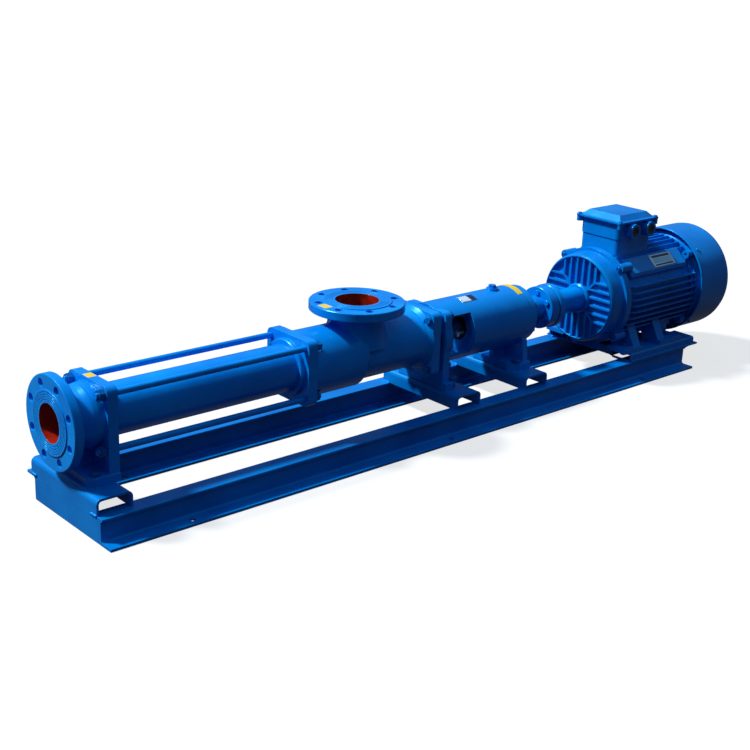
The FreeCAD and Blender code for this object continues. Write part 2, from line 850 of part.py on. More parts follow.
def on_seam(edge, radius):
    """True where the branch neck meets the outside of a barrel of the given radius."""
    b = edge.BoundBox
    middle = edge.valueAt((edge.FirstParameter + edge.LastParameter) / 2)
    on_barrel = abs(math.hypot(middle.y, middle.z) - radius) < 0.1
    return on_barrel and b.XLength > 1 and b.YLength > 1 and b.ZMin > 5


def branch_flange():
    """The suction flange, drawn along +X from its back to its face."""
    t = flange_thickness
    r = branch_flange_radius
    disc = revolve([(0, 0), (0, r - 1.5), (1.5, r), (t - face_height - 1.5, r), (t - face_height, r - 1.5),
                    (t - face_height, branch_face_radius), (t, branch_face_radius), (t, 0)])
    grooves = [tube(t - 0.8, t + 1, g + 1.2, g) for g in (branch_bore + 6 + 5 * i for i in range(4))]
    return cut(disc, grooves)


def corner_holes(x0, x1):
    places = corners4(corner_bolt_y, corner_bolt_top, corner_bolt_bottom)
    return [cyl(x0, x1, corner_bolt_radius + bolt_clearance, y, z) for y, z in places]


def corner_bolts():
    """Bolts, each with its nut, through the casing flange and the bracket plate."""
    pieces = []
    x0 = suction_end - rear_flange_thickness
    x1 = bracket_x + bracket_plate_thickness
    head = 8.0
    one = bolt(0, head, x1 - x0 + corner_nut_height + 4, corner_bolt_radius, corner_bolt_flats)
    for y, z in corners4(corner_bolt_y, corner_bolt_top, corner_bolt_bottom):
        pieces.append(moved(one, x0, y, z))
        pieces.append(nut(x1, corner_nut_height, corner_bolt_flats, corner_bolt_radius + seat_clearance, y, z))
    return pieces


def gaskets():
    """Flat seals at both stator ends and on the stuffing box spigot."""
    inner = stator_radius - stator_wall
    front = tube(stator_x - gasket_thickness, stator_x, stator_radius, inner)
    rear = tube(stator_end, stator_end + gasket_thickness, stator_radius, inner)
    return [front, rear]


# Stuffing box and gland
def stuffing_box():
    spigot = rear_barrel_radius - barrel_wall - seat_clearance
    bore = shaft_seal_radius + packing_size
    body = revolve([
        (suction_end - box_spigot, shaft_bore_radius), (suction_end - box_spigot, spigot),
        (suction_end, spigot), (suction_end, box_flange_radius), (bracket_x, box_flange_radius),
        (bracket_x, box_body_radius), (box_end, box_body_radius), (box_end, bore),
        (packing_x, bore), (packing_x, shaft_bore_radius)])
    studs = [cyl(box_end - 14, box_end + 1, gland_stud_radius, side * gland_stud_y) for side in (-1, 1)]
    return cut(body, studs)


def packing_rings():
    rings = []
    for i in range(packing_count):
        x = packing_x + i * packing_width
        ring = tube(x, x + packing_width, shaft_seal_radius + packing_size - seat_clearance,
                    shaft_seal_radius + running_clearance)
        rings.append(ring)
    return rings


def gland_follower():
    nose = shaft_seal_radius + packing_size - 0.35
    bore = shaft_seal_radius + 0.8
    sleeve = cyl(gland_nose_x, gland_flange_end, nose)
    lugs = [cyl(gland_flange_x, gland_flange_end, gland_lug_radius, side * gland_stud_y) for side in (-1, 1)]
    bar = box(gland_flange_x, gland_flange_end, -gland_stud_y, gland_stud_y, -gland_lug_radius, gland_lug_radius)
    disc = cyl(gland_flange_x, gland_flange_end, nose + 4)
    body = fuse([sleeve, disc, bar] + lugs)
    holes = [cyl(gland_flange_x - 1, gland_flange_end + 1, gland_stud_radius + moving_clearance,
                 side * gland_stud_y) for side in (-1, 1)]
    return cut(body, holes + [cyl(gland_nose_x - 1, gland_flange_end + 1, bore)])


def gland_studs():
    end = gland_flange_end + gland_nut_height + gland_travel + 4
    return [cyl(box_end - 14, end, gland_stud_radius, side * gland_stud_y) for side in (-1, 1)]


def gland_nuts():
    return [nut(gland_flange_end, gland_nut_height, gland_nut_flats, gland_stud_radius + moving_clearance,
                side * gland_stud_y) for side in (-1, 1)]


# Bearing bracket
def bearing_bracket():
    x = bracket_x
    z0 = -pump_foot_to_axis
    front = plate(x, x + bracket_plate_thickness, bracket_plate_half, z0, bracket_plate_top, plate_corner, 1.0)
    front_foot = foot_block(x, x + bracket_plate_thickness + front_foot_reach, bracket_foot_half, False)
    barrel = revolve([(x + 1, 0), (x + 1, bracket_radius), (bracket_end - 2, bracket_radius),
                      (bracket_end, bracket_radius - 2), (bracket_end, 0)])
    rear_x = bracket_end - rear_foot_plate
    leg = extrude([(V(rear_x, -bracket_foot_half + 8, z0), 0), (V(rear_x, bracket_foot_half - 8, z0), 0),
                   (V(rear_x, bracket_radius - 12, -30), 30), (V(rear_x, -bracket_radius + 12, -30), 30)],
                  V(rear_foot_plate - 2, 0, 0))
    rear_foot = foot_block(rear_x - rear_foot_reach, bracket_end - 2, bracket_foot_half, True)
    rib = box(rear_x - rear_foot_reach * 0.9, rear_x + 1, -rib_thickness / 2, rib_thickness / 2, z0 + 1, -60)
    front_rib = box(x + bracket_plate_thickness - 1, x + bracket_plate_thickness + front_foot_reach * 0.7,
                    -rib_thickness / 2, rib_thickness / 2, z0 + 1, -60)
    boss = upright(x + plug_x, 0, bracket_radius - 8, bracket_radius + 4, 15)
    body = fuse([front, front_foot, barrel, leg, rear_foot, rib, front_rib, boss])
    seat = bearing_outer_radius + seat_clearance
    tools = [
        cyl(x - 1, x + window_start - 8, box_flange_radius - 4),
        cyl(x + window_start - 9, partition_x, lantern_radius),
        cyl(partition_x - 1, partition_x + partition_thickness + 1, seal_outer() + seat_clearance),
        cyl(front_bearing_x, bracket_end + 1, seat),
        cyl(front_bearing_x + bearing_width + 4, rear_bearing_x - 4, seat + 5),
        upright(x + plug_x, 0, 40, bracket_radius + 5, 7),
    ]
    for side in (-1, 1):
        y = sorted((side * 20.0, side * (bracket_radius + 10)))
        tools.append(box(x + window_start, x + window_start + window_length, y[0], y[1], -window_bottom, window_top))
    tools += corner_holes(x - 1, x + bracket_plate_thickness + 1)
    spot_end = x + bracket_plate_thickness + corner_nut_height + 7
    tools += [cyl(x + bracket_plate_thickness, spot_end, corner_bolt_flats * 0.66, y, z)
              for y, z in corners4(corner_bolt_y, corner_bolt_top, corner_bolt_bottom)]
    tools += foot_holes(z0 - 1, z0 + foot_thickness + 1)[2:]
    tools += [cyl(bracket_end - 16, bracket_end + 1, cover_screw_radius(), y, z) for y, z in cover_screw_places()]
    return cut(body, tools)


def seal_outer():
    return shaft_seal_radius + 10.0


def cover_screw_radius():
    return 4.0


def cover_screw_places():
    return around(6, (bearing_outer_radius + cover_radius) / 2 + 2, 30)


def bearing_cover():
    x = bracket_end
    bore = shaft_bore_radius
    body = revolve([
        (x - bearing_back_gap, bearing_outer_radius - 8), (x - bearing_back_gap, bearing_outer_radius - 0.2),
        (x, bearing_outer_radius - 0.2), (x, cover_radius), (cover_end - 2, cover_radius), (cover_end, cover_radius - 2),
        (cover_end, bore), (cover_end - 12, bore), (cover_end - 12, seal_outer() + seat_clearance),
        (x + 2, seal_outer() + seat_clearance), (x + 2, bearing_outer_radius - 8)])
    holes = [cyl(x - 1, cover_end + 1, cover_screw_radius() + bolt_clearance, y, z) for y, z in cover_screw_places()]
    return cut(body, holes)


def cover_screws():
    screw = bolt(0, 6, cover_length + 9, cover_screw_radius() - seat_clearance, 13)
    screws = []
    for y, z in cover_screw_places():
        one = screw.copy()
        one.rotate(V(0, 0, 0), V(0, 0, 1), 180)
        screws.append(moved(one, cover_end, y, z))
    return screws


def oil_seals():
    inner = shaft_seal_radius + running_clearance
    front = tube(partition_x + 1, partition_x + 11, seal_outer(), inner)
    rear = tube(cover_end - 23, cover_end - 13, seal_outer(), shaft_seal_radius + running_clearance)
    return [front, rear]


def filler_plug():
    z = bracket_radius + 4
    head = hexagon(0, 8, 17)
    collar = cyl(-0.0, 2, 11)
    shank = cyl(-14, 1, 7 - seat_clearance)
    return turn_up(fuse([head, collar, shank]), bracket_x + plug_x, 0, z)


def rolling_bearing(x0, width, bore, outer):
    """The two rings and the balls of a deep-groove bearing, as (outer ring, inner ring, balls)."""
    mid = (bore + outer) / 2
    ball = (outer - bore) * 0.27
    groove_r = ball + 0.35
    half = width / 2
    groove = Part.makeTorus(mid, groove_r, V(x0 + half, 0, 0), V(1, 0, 0))
    land = ball * 0.45
    outer_ring = tube(x0, x0 + width, outer, mid + land).cut(groove)
    inner_ring = tube(x0, x0 + width, mid - land, bore).cut(groove)
    balls = [Part.makeSphere(ball, V(x0 + half, y, z)) for y, z in around(9, mid)]
    side = ball * 0.2
    reach = ball * 0.29
    cage = tube(x0 + half - side, x0 + half + side, mid + reach, mid - reach)
    cage = fuse([cage] + balls)
    return outer_ring, inner_ring, cage


def all_bearings():
    pump = [(front_bearing_x, bearing_width, bearing_bore_radius, bearing_outer_radius),
            (rear_bearing_x, bearing_width, bearing_bore_radius, bearing_outer_radius)]
    motor = [(front_motor_bearing_x(), motor_bearing_width, motor_bearing_bore, motor_bearing_outer),
             (rear_motor_bearing_x(), motor_bearing_width, motor_bearing_bore, motor_bearing_outer)]
    return [rolling_bearing(*b) for b in pump + motor]


def front_motor_bearing_x():
    return shield_x + shield_recess + 12.0


def rear_motor_bearing_x():
    return frame_end - 6.0


# Drive line
def drive_shaft():
    head_x = drive_joint_x - joint_cheek
    head_end = drive_joint_x + joint_cheek + 4
    b = bearing_bore_radius - seat_clearance
    body = revolve([
        (head_x, 0), (head_x, joint_head_radius), (head_end, joint_head_radius),
        (head_end + 6, shaft_seal_radius), (front_bearing_x - 3, shaft_seal_radius), (front_bearing_x - 1, b),
        (front_bearing_x + bearing_width, b), (front_bearing_x + bearing_width, bearing_shoulder),
        (rear_bearing_x, bearing_shoulder), (rear_bearing_x, b), (rear_bearing_x + bearing_width + 1, b),
        (rear_bearing_x + bearing_width + 1.5, shaft_seal_radius), (cover_end + 2, shaft_seal_radius),
        (cover_end + 2, shaft_end_radius), (pump_half_end - 1.5, shaft_end_radius),
        (pump_half_end, shaft_end_radius - 1.5), (pump_half_end, 0)])
    socket = cyl(head_x - 1, drive_joint_x + joint_socket_depth / 2 + 4, joint_socket_radius)
    pin_hole = upright(drive_joint_x, 0, -joint_head_radius - 1, joint_head_radius + 1,
                       joint_pin_radius + seat_clearance)
    return cut(body, [socket, pin_hole, key_box(cover_end + 8, pump_half_end - 4)])


def key_box(x0, x1, side=0.0):
    w = key_width / 2 + side
    z0 = shaft_end_radius - key_height * 0.6
    return box(x0, x1, -w, w, z0, z0 + key_height + side)


def pump_coupling_half():
    x0 = coupling_x - pump_hub_length
    body = revolve([(x0, 0), (x0, pump_hub_radius), (coupling_x, pump_hub_radius),
                    (coupling_x, coupling_radius - 1.5), (coupling_x + 1.5, coupling_radius),
                    (pump_half_end - 1.5, coupling_radius), (pump_half_end, coupling_radius - 1.5),
                    (pump_half_end, 0)])
    tools = [cyl(x0 - 1, pump_half_end + 1, coupling_bore), key_box(x0 - 1, pump_half_end + 1, seat_clearance)]
    tools += [cyl(coupling_x - 1, pump_half_end + 1, coupling_pin_radius + seat_clearance, y, z)
              for y, z in coupling_pin_places()]
    return cut(body, tools)


def coupling_pin_places():
    return around(coupling_pin_count, coupling_pin_circle, 30)


def motor_coupling_half():
    x0 = motor_half_x
    r = motor_half_radius
    body = revolve([(x0, 0), (x0, r - 1.5), (x0 + 1.5, r), (motor_half_end - 1.5, r), (motor_half_end, r - 1.5),
                    (motor_half_end, motor_hub_radius),
                    (hub_end - 1.5, motor_hub_radius), (hub_end, motor_hub_radius - 1.5), (hub_end, 0)])
    tools = [cyl(x0 - 1, hub_end + 1, coupling_bore), key_box(x0 - 1, hub_end + 1, seat_clearance)]
    tools += [cyl(x0 - 1, motor_half_end + 1, coupling_bush_radius + seat_clearance, y, z)
              for y, z in coupling_pin_places()]
    return cut(body, tools)


def coupling_pins():
    head = 5.0
    end = motor_half_end + 4
    pin = bolt(coupling_x, head, end - coupling_x, coupling_pin_radius, 13)
    pins = []
    for y, z in coupling_pin_places():
        collar = cyl(pump_half_end, motor_half_x, coupling_pin_radius + 2, y, z)
        pins.append(fuse([moved(pin, 0, y, z), collar]))
    return pins


def coupling_bushes():
    return [tube(motor_half_x, motor_half_end, coupling_bush_radius, coupling_pin_radius + seat_clearance, y, z)
            for y, z in coupling_pin_places()]


def motor_shaft():
    end = motor_half_x + 10
    tail = rear_motor_bearing_x() + motor_bearing_width
    b = motor_bearing_bore - seat_clearance
    front = front_motor_bearing_x()
    body = revolve([
        (end, 0), (end, shaft_end_radius - 1.5), (end + 1.5, shaft_end_radius), (hub_end + 1, shaft_end_radius),
        (hub_end + 1, b), (front + motor_bearing_width, b), (front + motor_bearing_width, b + 4),
        (rear_motor_bearing_x(), b + 4), (rear_motor_bearing_x(), b), (tail + 1, b), (tail + 1, b - 3),
        (fan_x() + 40, b - 3), (fan_x() + 40, 0)])
    return cut(body, [key_box(end + 6, hub_end - 4)])


def shaft_keys():
    pump = key_box(cover_end + 8, pump_half_end - 4)
    motor = key_box(motor_half_x + 16, hub_end - 4)
    return [pump, motor]


def lamination_x():
    return frame_x + (frame_length - lamination_length) / 2


def motor_rotor():
    x0 = lamination_x()
    x1 = x0 + lamination_length
    bore = motor_bearing_bore + 4
    r = lamination_bore - air_gap
    stack = tube(x0, x1, r, bore)
    rings = [tube(x0 - 14, x0, r - 2, r - 20), tube(x1, x1 + 14, r - 2, r - 20)]
    return fuse([stack] + rings)


def fan_x():
    return rear_shield_end + 8.0


def motor_fan():
    x0 = fan_x()
    hub_r = motor_bearing_bore - 3
    hub = tube(x0, x0 + 34, 27, hub_r)
    disc = tube(x0, x0 + 4, fan_radius, 26)
    blades = []
    for a in ring_angles(7):
        blade = box(x0 + 2, x0 + 32, 24, fan_radius, -1.8, 1.8)
        blade.rotate(V(0, 0, 0), V(1, 0, 0), math.degrees(a))
        blades.append(blade)
    return fuse([hub, disc] + blades)


# Motor casings
def shield_bolt_places():
    return around(4, shield_bolt_circle, 45)


def front_ribs():
    """Cast ribs on the front shield: upright above and below the boss, level at its sides."""
    x0 = shield_x + 1.0
    x1 = shield_x + shield_recess + 1
    half = shield_rib_half
    inner = shield_boss_radius - 3
    outer = shield_radius - shield_rim + 2
    ribs = []
    for i in range(6):
        d = (i - 2.5) * shield_rib_pitch
        start = max(abs(d), math.sqrt(max(inner ** 2 - d ** 2, 0)))
        end = math.sqrt(outer ** 2 - d ** 2)
        for sign in (-1, 1):
            z = sorted((sign * start, sign * end))
            ribs.append(box(x0, x1, d - half, d + half, z[0], z[1]))
            ribs.append(box(x0, x1, z[0], z[1], d - half, d + half))
    for a in (45, 135, 225, 315):
        diagonal = box(x0, x1, inner, 2.5 * shield_rib_pitch * math.sqrt(2), -half, half)
        diagonal.rotate(V(0, 0, 0), V(1, 0, 0), a)
        ribs.append(diagonal)
    return ribs


def ear(x0, x1, angle, reach, width):
    """A bolting ear at an angle round the axis."""
    body = box(x0, x1, core_radius - 4, reach, -width / 2, width / 2)
    tip = cyl(x0, x1, width / 2, reach)
    shape = fuse([body, tip])
    shape.rotate(V(0, 0, 0), V(1, 0, 0), angle)
    return shape


def front_shield():
    x = shield_x
    ring_x = frame_x - shield_ring
    r = shield_radius
    hub_x = front_motor_bearing_x()
    bearing_end = hub_x + motor_bearing_width
    dish = revolve([
        (motor_x, 0), (motor_x, shield_boss_radius - 4), (motor_x + 4, shield_boss_radius),
        (x + shield_recess, shield_boss_radius), (x + shield_recess, r - shield_rim), (x + 2, r - shield_rim),
        (x, r - shield_rim + 3), (x, r - 7), (x + 2, r - 3), (x + 7, r), (ring_x, r + 3),
        (ring_x, shield_ring_radius), (frame_x, shield_ring_radius), (frame_x, r - 12), (ring_x - 4, r - 14),
        (x + shield_recess + 8, r - 16), (x + shield_recess + 8, motor_bearing_outer + 10),
        (bearing_end + 2, motor_bearing_outer + 8), (bearing_end + 2, 0)])
    ears = [ear(ring_x, frame_x, a, shield_bolt_circle, 26) for a in (45, 135, 225, 315)]
    body = fuse([dish] + front_ribs() + ears)
    tools = [cyl(motor_x - 1, bearing_end + 3, motor_bearing_bore + 1.0),
             cyl(hub_x, bearing_end + 3, motor_bearing_outer + seat_clearance)]
    tools += [cyl(ring_x - 1, frame_x + 1, shield_bolt_radius + bolt_clearance, y, z)
              for y, z in shield_bolt_places()]
    return cut(body, tools)


def side_fins():
    """Level cooling fins on both sides, their tips on one circle, clear of the ears."""
    fins = []
    x0 = frame_x + 4
    x1 = frame_end
    start = -fin_pitch * (side_fin_count - 1) / 2
    for i in range(side_fin_count):
        z = start + i * fin_pitch
        tip = math.sqrt(fin_tip_radius ** 2 - z ** 2)
        root = math.sqrt(core_radius ** 2 - z ** 2) - 6
        for sign in (-1, 1):
            if sign < 0 and z > pad_low_z():
                continue
            low = z - fin_thickness / 2
            outline = [V(x0, sign * root, low), V(x0, sign * (tip - fin_ramp), low),
                       V(x0 + fin_ramp, sign * tip, low), V(x1, sign * tip, low), V(x1, sign * root, low)]
            fins.append(Part.Face(Part.makePolygon(outline + [outline[0]])).extrude(V(0, 0, fin_thickness)))
    return fins


def pad_low_z():
    return 56.0


def top_fins():
    """Upright fins on top behind the terminal box, and under the frame between the feet."""
    fins = []
    for i in range(-4, 5):
        y = i * fin_pitch
        tip = math.sqrt(fin_tip_radius ** 2 - y ** 2)
        root = math.sqrt(core_radius ** 2 - y ** 2) - 6
        x0 = box_ends()[1] + 6
        fins.append(box(x0, frame_end, y - fin_thickness / 2, y + fin_thickness / 2, root, tip))
        low = min(tip, motor_shaft_height - 8)
        fins.append(box(frame_x + 24, frame_end - 24, y - fin_thickness / 2, y + fin_thickness / 2, -low, -root))
    return fins


def plate_pad():
    """The flat raised pad for the rating plate, on the upper near side."""
    x0 = frame_x + 22
    x1 = frame_end - 24
    reach = fin_tip_radius - 1
    pad = box(x0, x1, -pad_half_width, pad_half_width, core_radius - 10, reach)
    pad = pad.makeChamfer(7, [e for e in pad.Edges if abs(e.BoundBox.ZMin - reach) < 0.01
                              and e.BoundBox.ZLength < 0.01])
    pad.rotate(V(0, 0, 0), V(1, 0, 0), pad_angle)
    return pad


def motor_foot(hole_x, pad_start, leg_x, side):
    """One motor foot and its bolt hole: a pad, a slanting leg up to the frame and an inner web."""
    z0 = -motor_shaft_height
    near = sorted((side * motor_foot_inner_y, side * motor_foot_outer_y))
    web = sorted((side * motor_foot_inner_y, side * (motor_foot_inner_y + motor_foot_web)))
    pad_end = max(hole_x + motor_foot_end, leg_x + motor_leg_width)
    pad = box(pad_start, pad_end, near[0], near[1], z0, z0 + motor_foot_pad)
    corners = [V(leg_x, side * (motor_foot_outer_y - 5), z0 + 2),
               V(leg_x, side * motor_foot_inner_y, z0 + 2),
               V(leg_x, side * core_radius * 0.55, -core_radius * 0.72),
               V(leg_x, side * core_radius * 0.85, -core_radius * 0.5)]
    leg = extrude([(c, 0) for c in corners], V(motor_leg_width, 0, 0))
    wall = box(max(pad_start, frame_x + 1), pad_end, web[0], web[1], z0 + 2, -core_radius * 0.6)
    hole = upright(hole_x, side * motor_foot_y, z0 - 1, z0 + motor_foot_pad + 1,
                   motor_bolt_radius + bolt_clearance)
    return fuse([pad, leg, wall]), hole


def motor_frame():
    x0 = frame_x
    x1 = frame_end
    shell = cyl(x0, x1, core_radius)
    pieces = [shell] + side_fins() + top_fins() + [plate_pad()]
    pieces += [cyl(x0, x0 + 8, core_radius + 5), cyl(x1 - 10, x1, shield_ring_radius - 10)]
    holes = []
    front, rear = motor_bolt_stations()
    for side in (-1, 1):
        for foot, hole in (motor_foot(front, front - motor_foot_end, front + motor_leg_offset, side),
                           motor_foot(rear, rear - rear_leg_reach, rear - rear_leg_reach, side)):
            pieces.append(foot)
            holes.append(hole)
    pieces += [ear(x0, x0 + 22, a, shield_bolt_circle, 26) for a in (45, 135, 225, 315)]
    pieces += [ear(x1 - 18, x1, a, shield_bolt_circle, 22) for a in (45, 135, 225, 315)]
    half = box_half_width - 4
    seat_x, seat_end = box_ends()
    pieces.append(box(seat_x + 4, seat_end - 4, -half, half, core_radius * 0.625, box_seat()))
    body = fuse(pieces)
    tools = [cyl(x0 - 1, x1 + 1, core_radius - core_wall), wire_way()]
    tools += [cyl(x0 - 1, x0 + 23, shield_bolt_radius, y, z) for y, z in shield_bolt_places()]
    tools += [cyl(x1 - 19, x1 + 1, shield_bolt_radius, y, z) for y, z in shield_bolt_places()]
    return cut(body, tools + holes + motor_head_rooms())


def motor_head_rooms():
    """The room over each motor foot for the head of its bolt, so that no ear or fin stands in it."""
    z = -motor_shaft_height + motor_foot_pad
    radius = motor_bolt_flats / math.sqrt(3) + motor_bolt_room
    return [upright(x, side * motor_foot_y, z, z + motor_bolt_head + motor_bolt_room, radius)
            for x in motor_bolt_stations() for side in (-1, 1)]


def box_seat():
    return core_radius + 6.0


def wire_way():
    return upright(sum(box_ends()) / 2 - 14, 0, core_radius * 0.55, box_seat() + 20, 20)


def motor_stator_core():
    x0 = lamination_x()
    return tube(x0, x0 + lamination_length, core_radius - core_wall - seat_clearance, lamination_bore)


def motor_windings():
    x0 = lamination_x()
    x1 = x0 + lamination_length
    outer = core_radius - core_wall - 8
    inner = lamination_bore + 4
    turns = []
    for a, b in ((x0 - coil_end_length, x0), (x1, x1 + coil_end_length)):
        turns.append(tube(a, b, outer, inner))
    return turns


def rear_shield():
    x = frame_end
    x1 = rear_shield_end
    bx = rear_motor_bearing_x()
    ear_end = x + rear_ear_thickness
    guide = cowl_radius - cowl_wall - cowl_spigot_gap
    dish = revolve([(x, 0), (x, shield_ring_radius - 4), (ear_end, shield_ring_radius - 4), (ear_end + 8, guide),
                    (x1, guide), (x1, guide - 6), (ear_end + 6, guide - 10), (ear_end, shield_radius - 8),
                    (ear_end, 0)])
    hub = cyl(bx - 2, x + 4, motor_bearing_outer + 9)
    ears = [ear(x, ear_end, a, shield_bolt_circle, rear_ear_width) for a in (45, 135, 225, 315)]
    lugs = []
    screw_x = cowl_x + cowl_screw_inset
    for a in cowl_screw_angles():
        lug = box(screw_x - cowl_lug_half, screw_x + cowl_lug_half, guide - 6, cowl_radius, -9, 9)
        lug = lug.common(cyl(x, screw_x + cowl_lug_half + 1, cowl_radius - cowl_wall - seat_clearance))
        lug.rotate(V(0, 0, 0), V(1, 0, 0), a)
        lugs.append(lug)
    body = fuse([dish, hub] + ears + lugs)
    tools = [cyl(bx - 3, x1 + 1, motor_bearing_bore + 1.0),
             cyl(bx - 3, bx + motor_bearing_width, motor_bearing_outer + seat_clearance)]
    tools += [cyl(x - 1, ear_end + 1, shield_bolt_radius + bolt_clearance, y, z) for y, z in shield_bolt_places()]
    tools += [cyl(ear_end, ear_end + 9, 9, y, z) for y, z in shield_bolt_places()]
    tools += [cowl_screw_hole(a) for a in cowl_screw_angles()]
    return cut(body, tools)


def cowl_screw_angles():
    return (45, 135, 225, 315)


def cowl_screw_hole(angle, radius=2.5):
    hole = cross_hole(cowl_x + cowl_screw_inset, 0, cowl_radius - 16, cowl_radius + 2, radius)
    hole.rotate(V(0, 0, 0), V(1, 0, 0), angle)
    return hole


def shield_bolts():
    head = 6.0
    front = bolt(frame_x - shield_ring, head, shield_ring + 16, shield_bolt_radius - seat_clearance, 13)
    rear = bolt(0, head, rear_ear_thickness + 14, shield_bolt_radius - seat_clearance, 13)
    rear.rotate(V(0, 0, 0), V(0, 0, 1), 180)
    bolts = []
    for y, z in shield_bolt_places():
        bolts.append(moved(front, 0, y, z))
        bolts.append(moved(rear, frame_end + rear_ear_thickness, y, z))
    return bolts


def fan_cowl():
    r = cowl_radius
    c = cowl_round
    x0 = cowl_x
    x1 = cowl_end
    steps = 6
    arc = [(x1 - c + c * math.sin(math.pi / 2 * i / steps), r - c + c * math.cos(math.pi / 2 * i / steps))
           for i in range(steps + 1)]
    outer = revolve([(x0, 0), (x0, r)] + arc + [(x1, 0)])
    t = cowl_wall
    inner_arc = [(x1 - c + (c - t) * math.sin(math.pi / 2 * i / steps),
                  r - c + (c - t) * math.cos(math.pi / 2 * i / steps)) for i in range(steps + 1)]
    inner = revolve([(x0 - 1, 0), (x0 - 1, r - t)] + inner_arc + [(x1 - t, 0)])
    shell = outer.cut(inner)
    slots = [tube(x1 - t - 4, x1 + 1, a + 8, a) for a in (24, 44, 64, 84)]
    spokes = []
    for i in range(4):
        spoke = box(x1 - t - 6, x1 + 2, -r, r, -4, 4)
        spoke.rotate(V(0, 0, 0), V(1, 0, 0), 45 * i)
        spokes.append(spoke)
    grille = [s.cut(Part.makeCompound(spokes)) for s in slots]
    return cut(shell, grille + [cowl_screw_hole(a, 2.8) for a in cowl_screw_angles()])


def small_screws():
    """Cheese-head screws of the fan cowl and of the terminal box lid."""
    screws = []
    one = fuse([cyl(cowl_radius, cowl_radius + 3, 4.5), cyl(cowl_radius - 12, cowl_radius + 1, 2.4)])
    for a in cowl_screw_angles():
        screw = one.copy()
        screw.rotate(V(0, 0, 0), V(0, 0, 1), 90)
        screw.translate(V(cowl_x + cowl_screw_inset, 0, 0))
        screw.rotate(V(0, 0, 0), V(1, 0, 0), a)
        screws.append(screw)
    for x, y in lid_screw_places():
        screw = fuse([upright(x, y, box_top - 12, box_top + lid_rim + 1, 2.4),
                      upright(x, y, box_top + lid_rim, box_top + lid_rim + 3.5, 5)])
        screws.append(screw)
    return screws


# Terminal box
def box_ends():
    x0 = frame_x + box_gap
    return x0, x0 + box_length


def lid_screw_places():
    x0, x1 = box_ends()
    y = box_half_width + lid_screw_outset
    return [(x, side * y) for x in (x0 - lid_screw_outset, x1 + lid_screw_outset) for side in (-1, 1)]


def corner_lug(x, y, z0, z1, radius):
    """A round lug at (x, y), joined by a square to the corner of the box that it stands beside."""
    inner_x = x + (1 if x < sum(box_ends()) / 2 else -1) * (lid_screw_outset + 8)
    inner_y = y + (1 if y < 0 else -1) * (lid_screw_outset + 8)
    xs = sorted((x, inner_x))
    ys = sorted((y, inner_y))
    return fuse([upright(x, y, z0, z1, radius), box(xs[0], xs[1], ys[0], ys[1], z0, z1)])


def flat_block(x0, x1, half, z0, z1, corner):
    pts = [V(x0, -half, z0), V(x0, half, z0), V(x1, half, z0), V(x1, -half, z0)]
    return extrude([(p, corner) for p in pts], V(0, 0, z1 - z0))


def terminal_box():
    x0, x1 = box_ends()
    t = box_wall
    split = (box_seat() + box_top) / 2
    lower = flat_block(x0 + 2, x1 - 2, box_half_width - 2, box_seat(), split, box_corner - 1)
    upper = flat_block(x0, x1, box_half_width, split, box_top, box_corner)
    lugs = [corner_lug(x, y, box_top - lug_height, box_top, lid_ear_radius - 1) for x, y in lid_screw_places()]
    shell = fuse([lower, upper] + lugs)
    inside = flat_block(x0 + t, x1 - t, box_half_width - t, box_seat() + t, box_top + 1, box_corner - t)
    shell = shell.cut(inside)
    tools = [wire_way()] + [upright(x, y, box_top - 12.5, box_top + 1, 2.4 + seat_clearance)
                            for x, y in lid_screw_places()]
    for x in gland_stations():
        tools.append(cross_hole(x, gland_height, -box_half_width - 1, -box_half_width + 12, gland_hole_radius + 1))
    return cut(shell, tools)


def gland_stations():
    x0, x1 = box_ends()
    mid = (x0 + x1) / 2 + 7
    return [mid - gland_spacing / 2, mid + gland_spacing / 2]


def terminal_box_lid():
    x0, x1 = box_ends()
    o = lid_overhang
    z = box_top
    rim = flat_block(x0 - o, x1 + o, box_half_width + o, z, z + lid_rim, 12)
    ears = [upright(x, y, z, z + lid_rim, lid_ear_radius) for x, y in lid_screw_places()]
    middle = (x0 + x1) / 2
    half = box_half_width - lid_crown_inset
    near = x0 + lid_crown_inset
    far = x1 - lid_crown_inset
    base = z + lid_rim
    low = [V(near, -half, base), V(near, half, base), V(far, half, base), V(far, -half, base)]
    high = []
    for p in low:
        step_x = lid_chamfer if p.x < middle else -lid_chamfer
        step_y = lid_chamfer if p.y < 0 else -lid_chamfer
        high.append(V(p.x + step_x, p.y + step_y, base + lid_crown))
    crown = Part.makeLoft([Part.makePolygon(low + [low[0]]), Part.makePolygon(high + [high[0]])], True, True)
    body = fuse([rim, crown] + ears)
    tools = []
    for x, y in lid_screw_places():
        tools.append(upright(x, y, z - 1, z + lid_rim + 1, 2.4 + bolt_clearance))
    hollow = flat_block(x0 + 14, x1 - 14, box_half_width - 14, z - 1, z + lid_rim + lid_crown - 5, 5)
    return cut(body, tools + [hollow])


def cable_glands():
    sleeves = []
    for x in gland_stations():
        y0 = -box_half_width - gland_sleeve_length
        sleeve = cross_hole(x, gland_height, y0, -box_half_width, gland_sleeve_radius)
        thread = cross_hole(x, gland_height, -box_half_width - 1, -box_half_width + box_wall + 3,
                            gland_hole_radius + 1 - seat_clearance)
        bore = cross_hole(x, gland_height, y0 - 1, -box_half_width + 20, gland_hole_radius - 2)
        sleeves.append(fuse([sleeve, thread]).cut(bore))
    return sleeves


def terminal_board():
    x0, x1 = box_ends()
    z = box_seat() + box_wall
    mid = (x0 + x1) / 2 + 34
    board = box(mid - 16, mid + 16, -44, 44, z, z + 14)
    studs = [upright(mid + dx, dy, z + 13, z + 30, 3) for dx in (-8, 8) for dy in (-30, 0, 30)]
    return fuse([board] + studs)


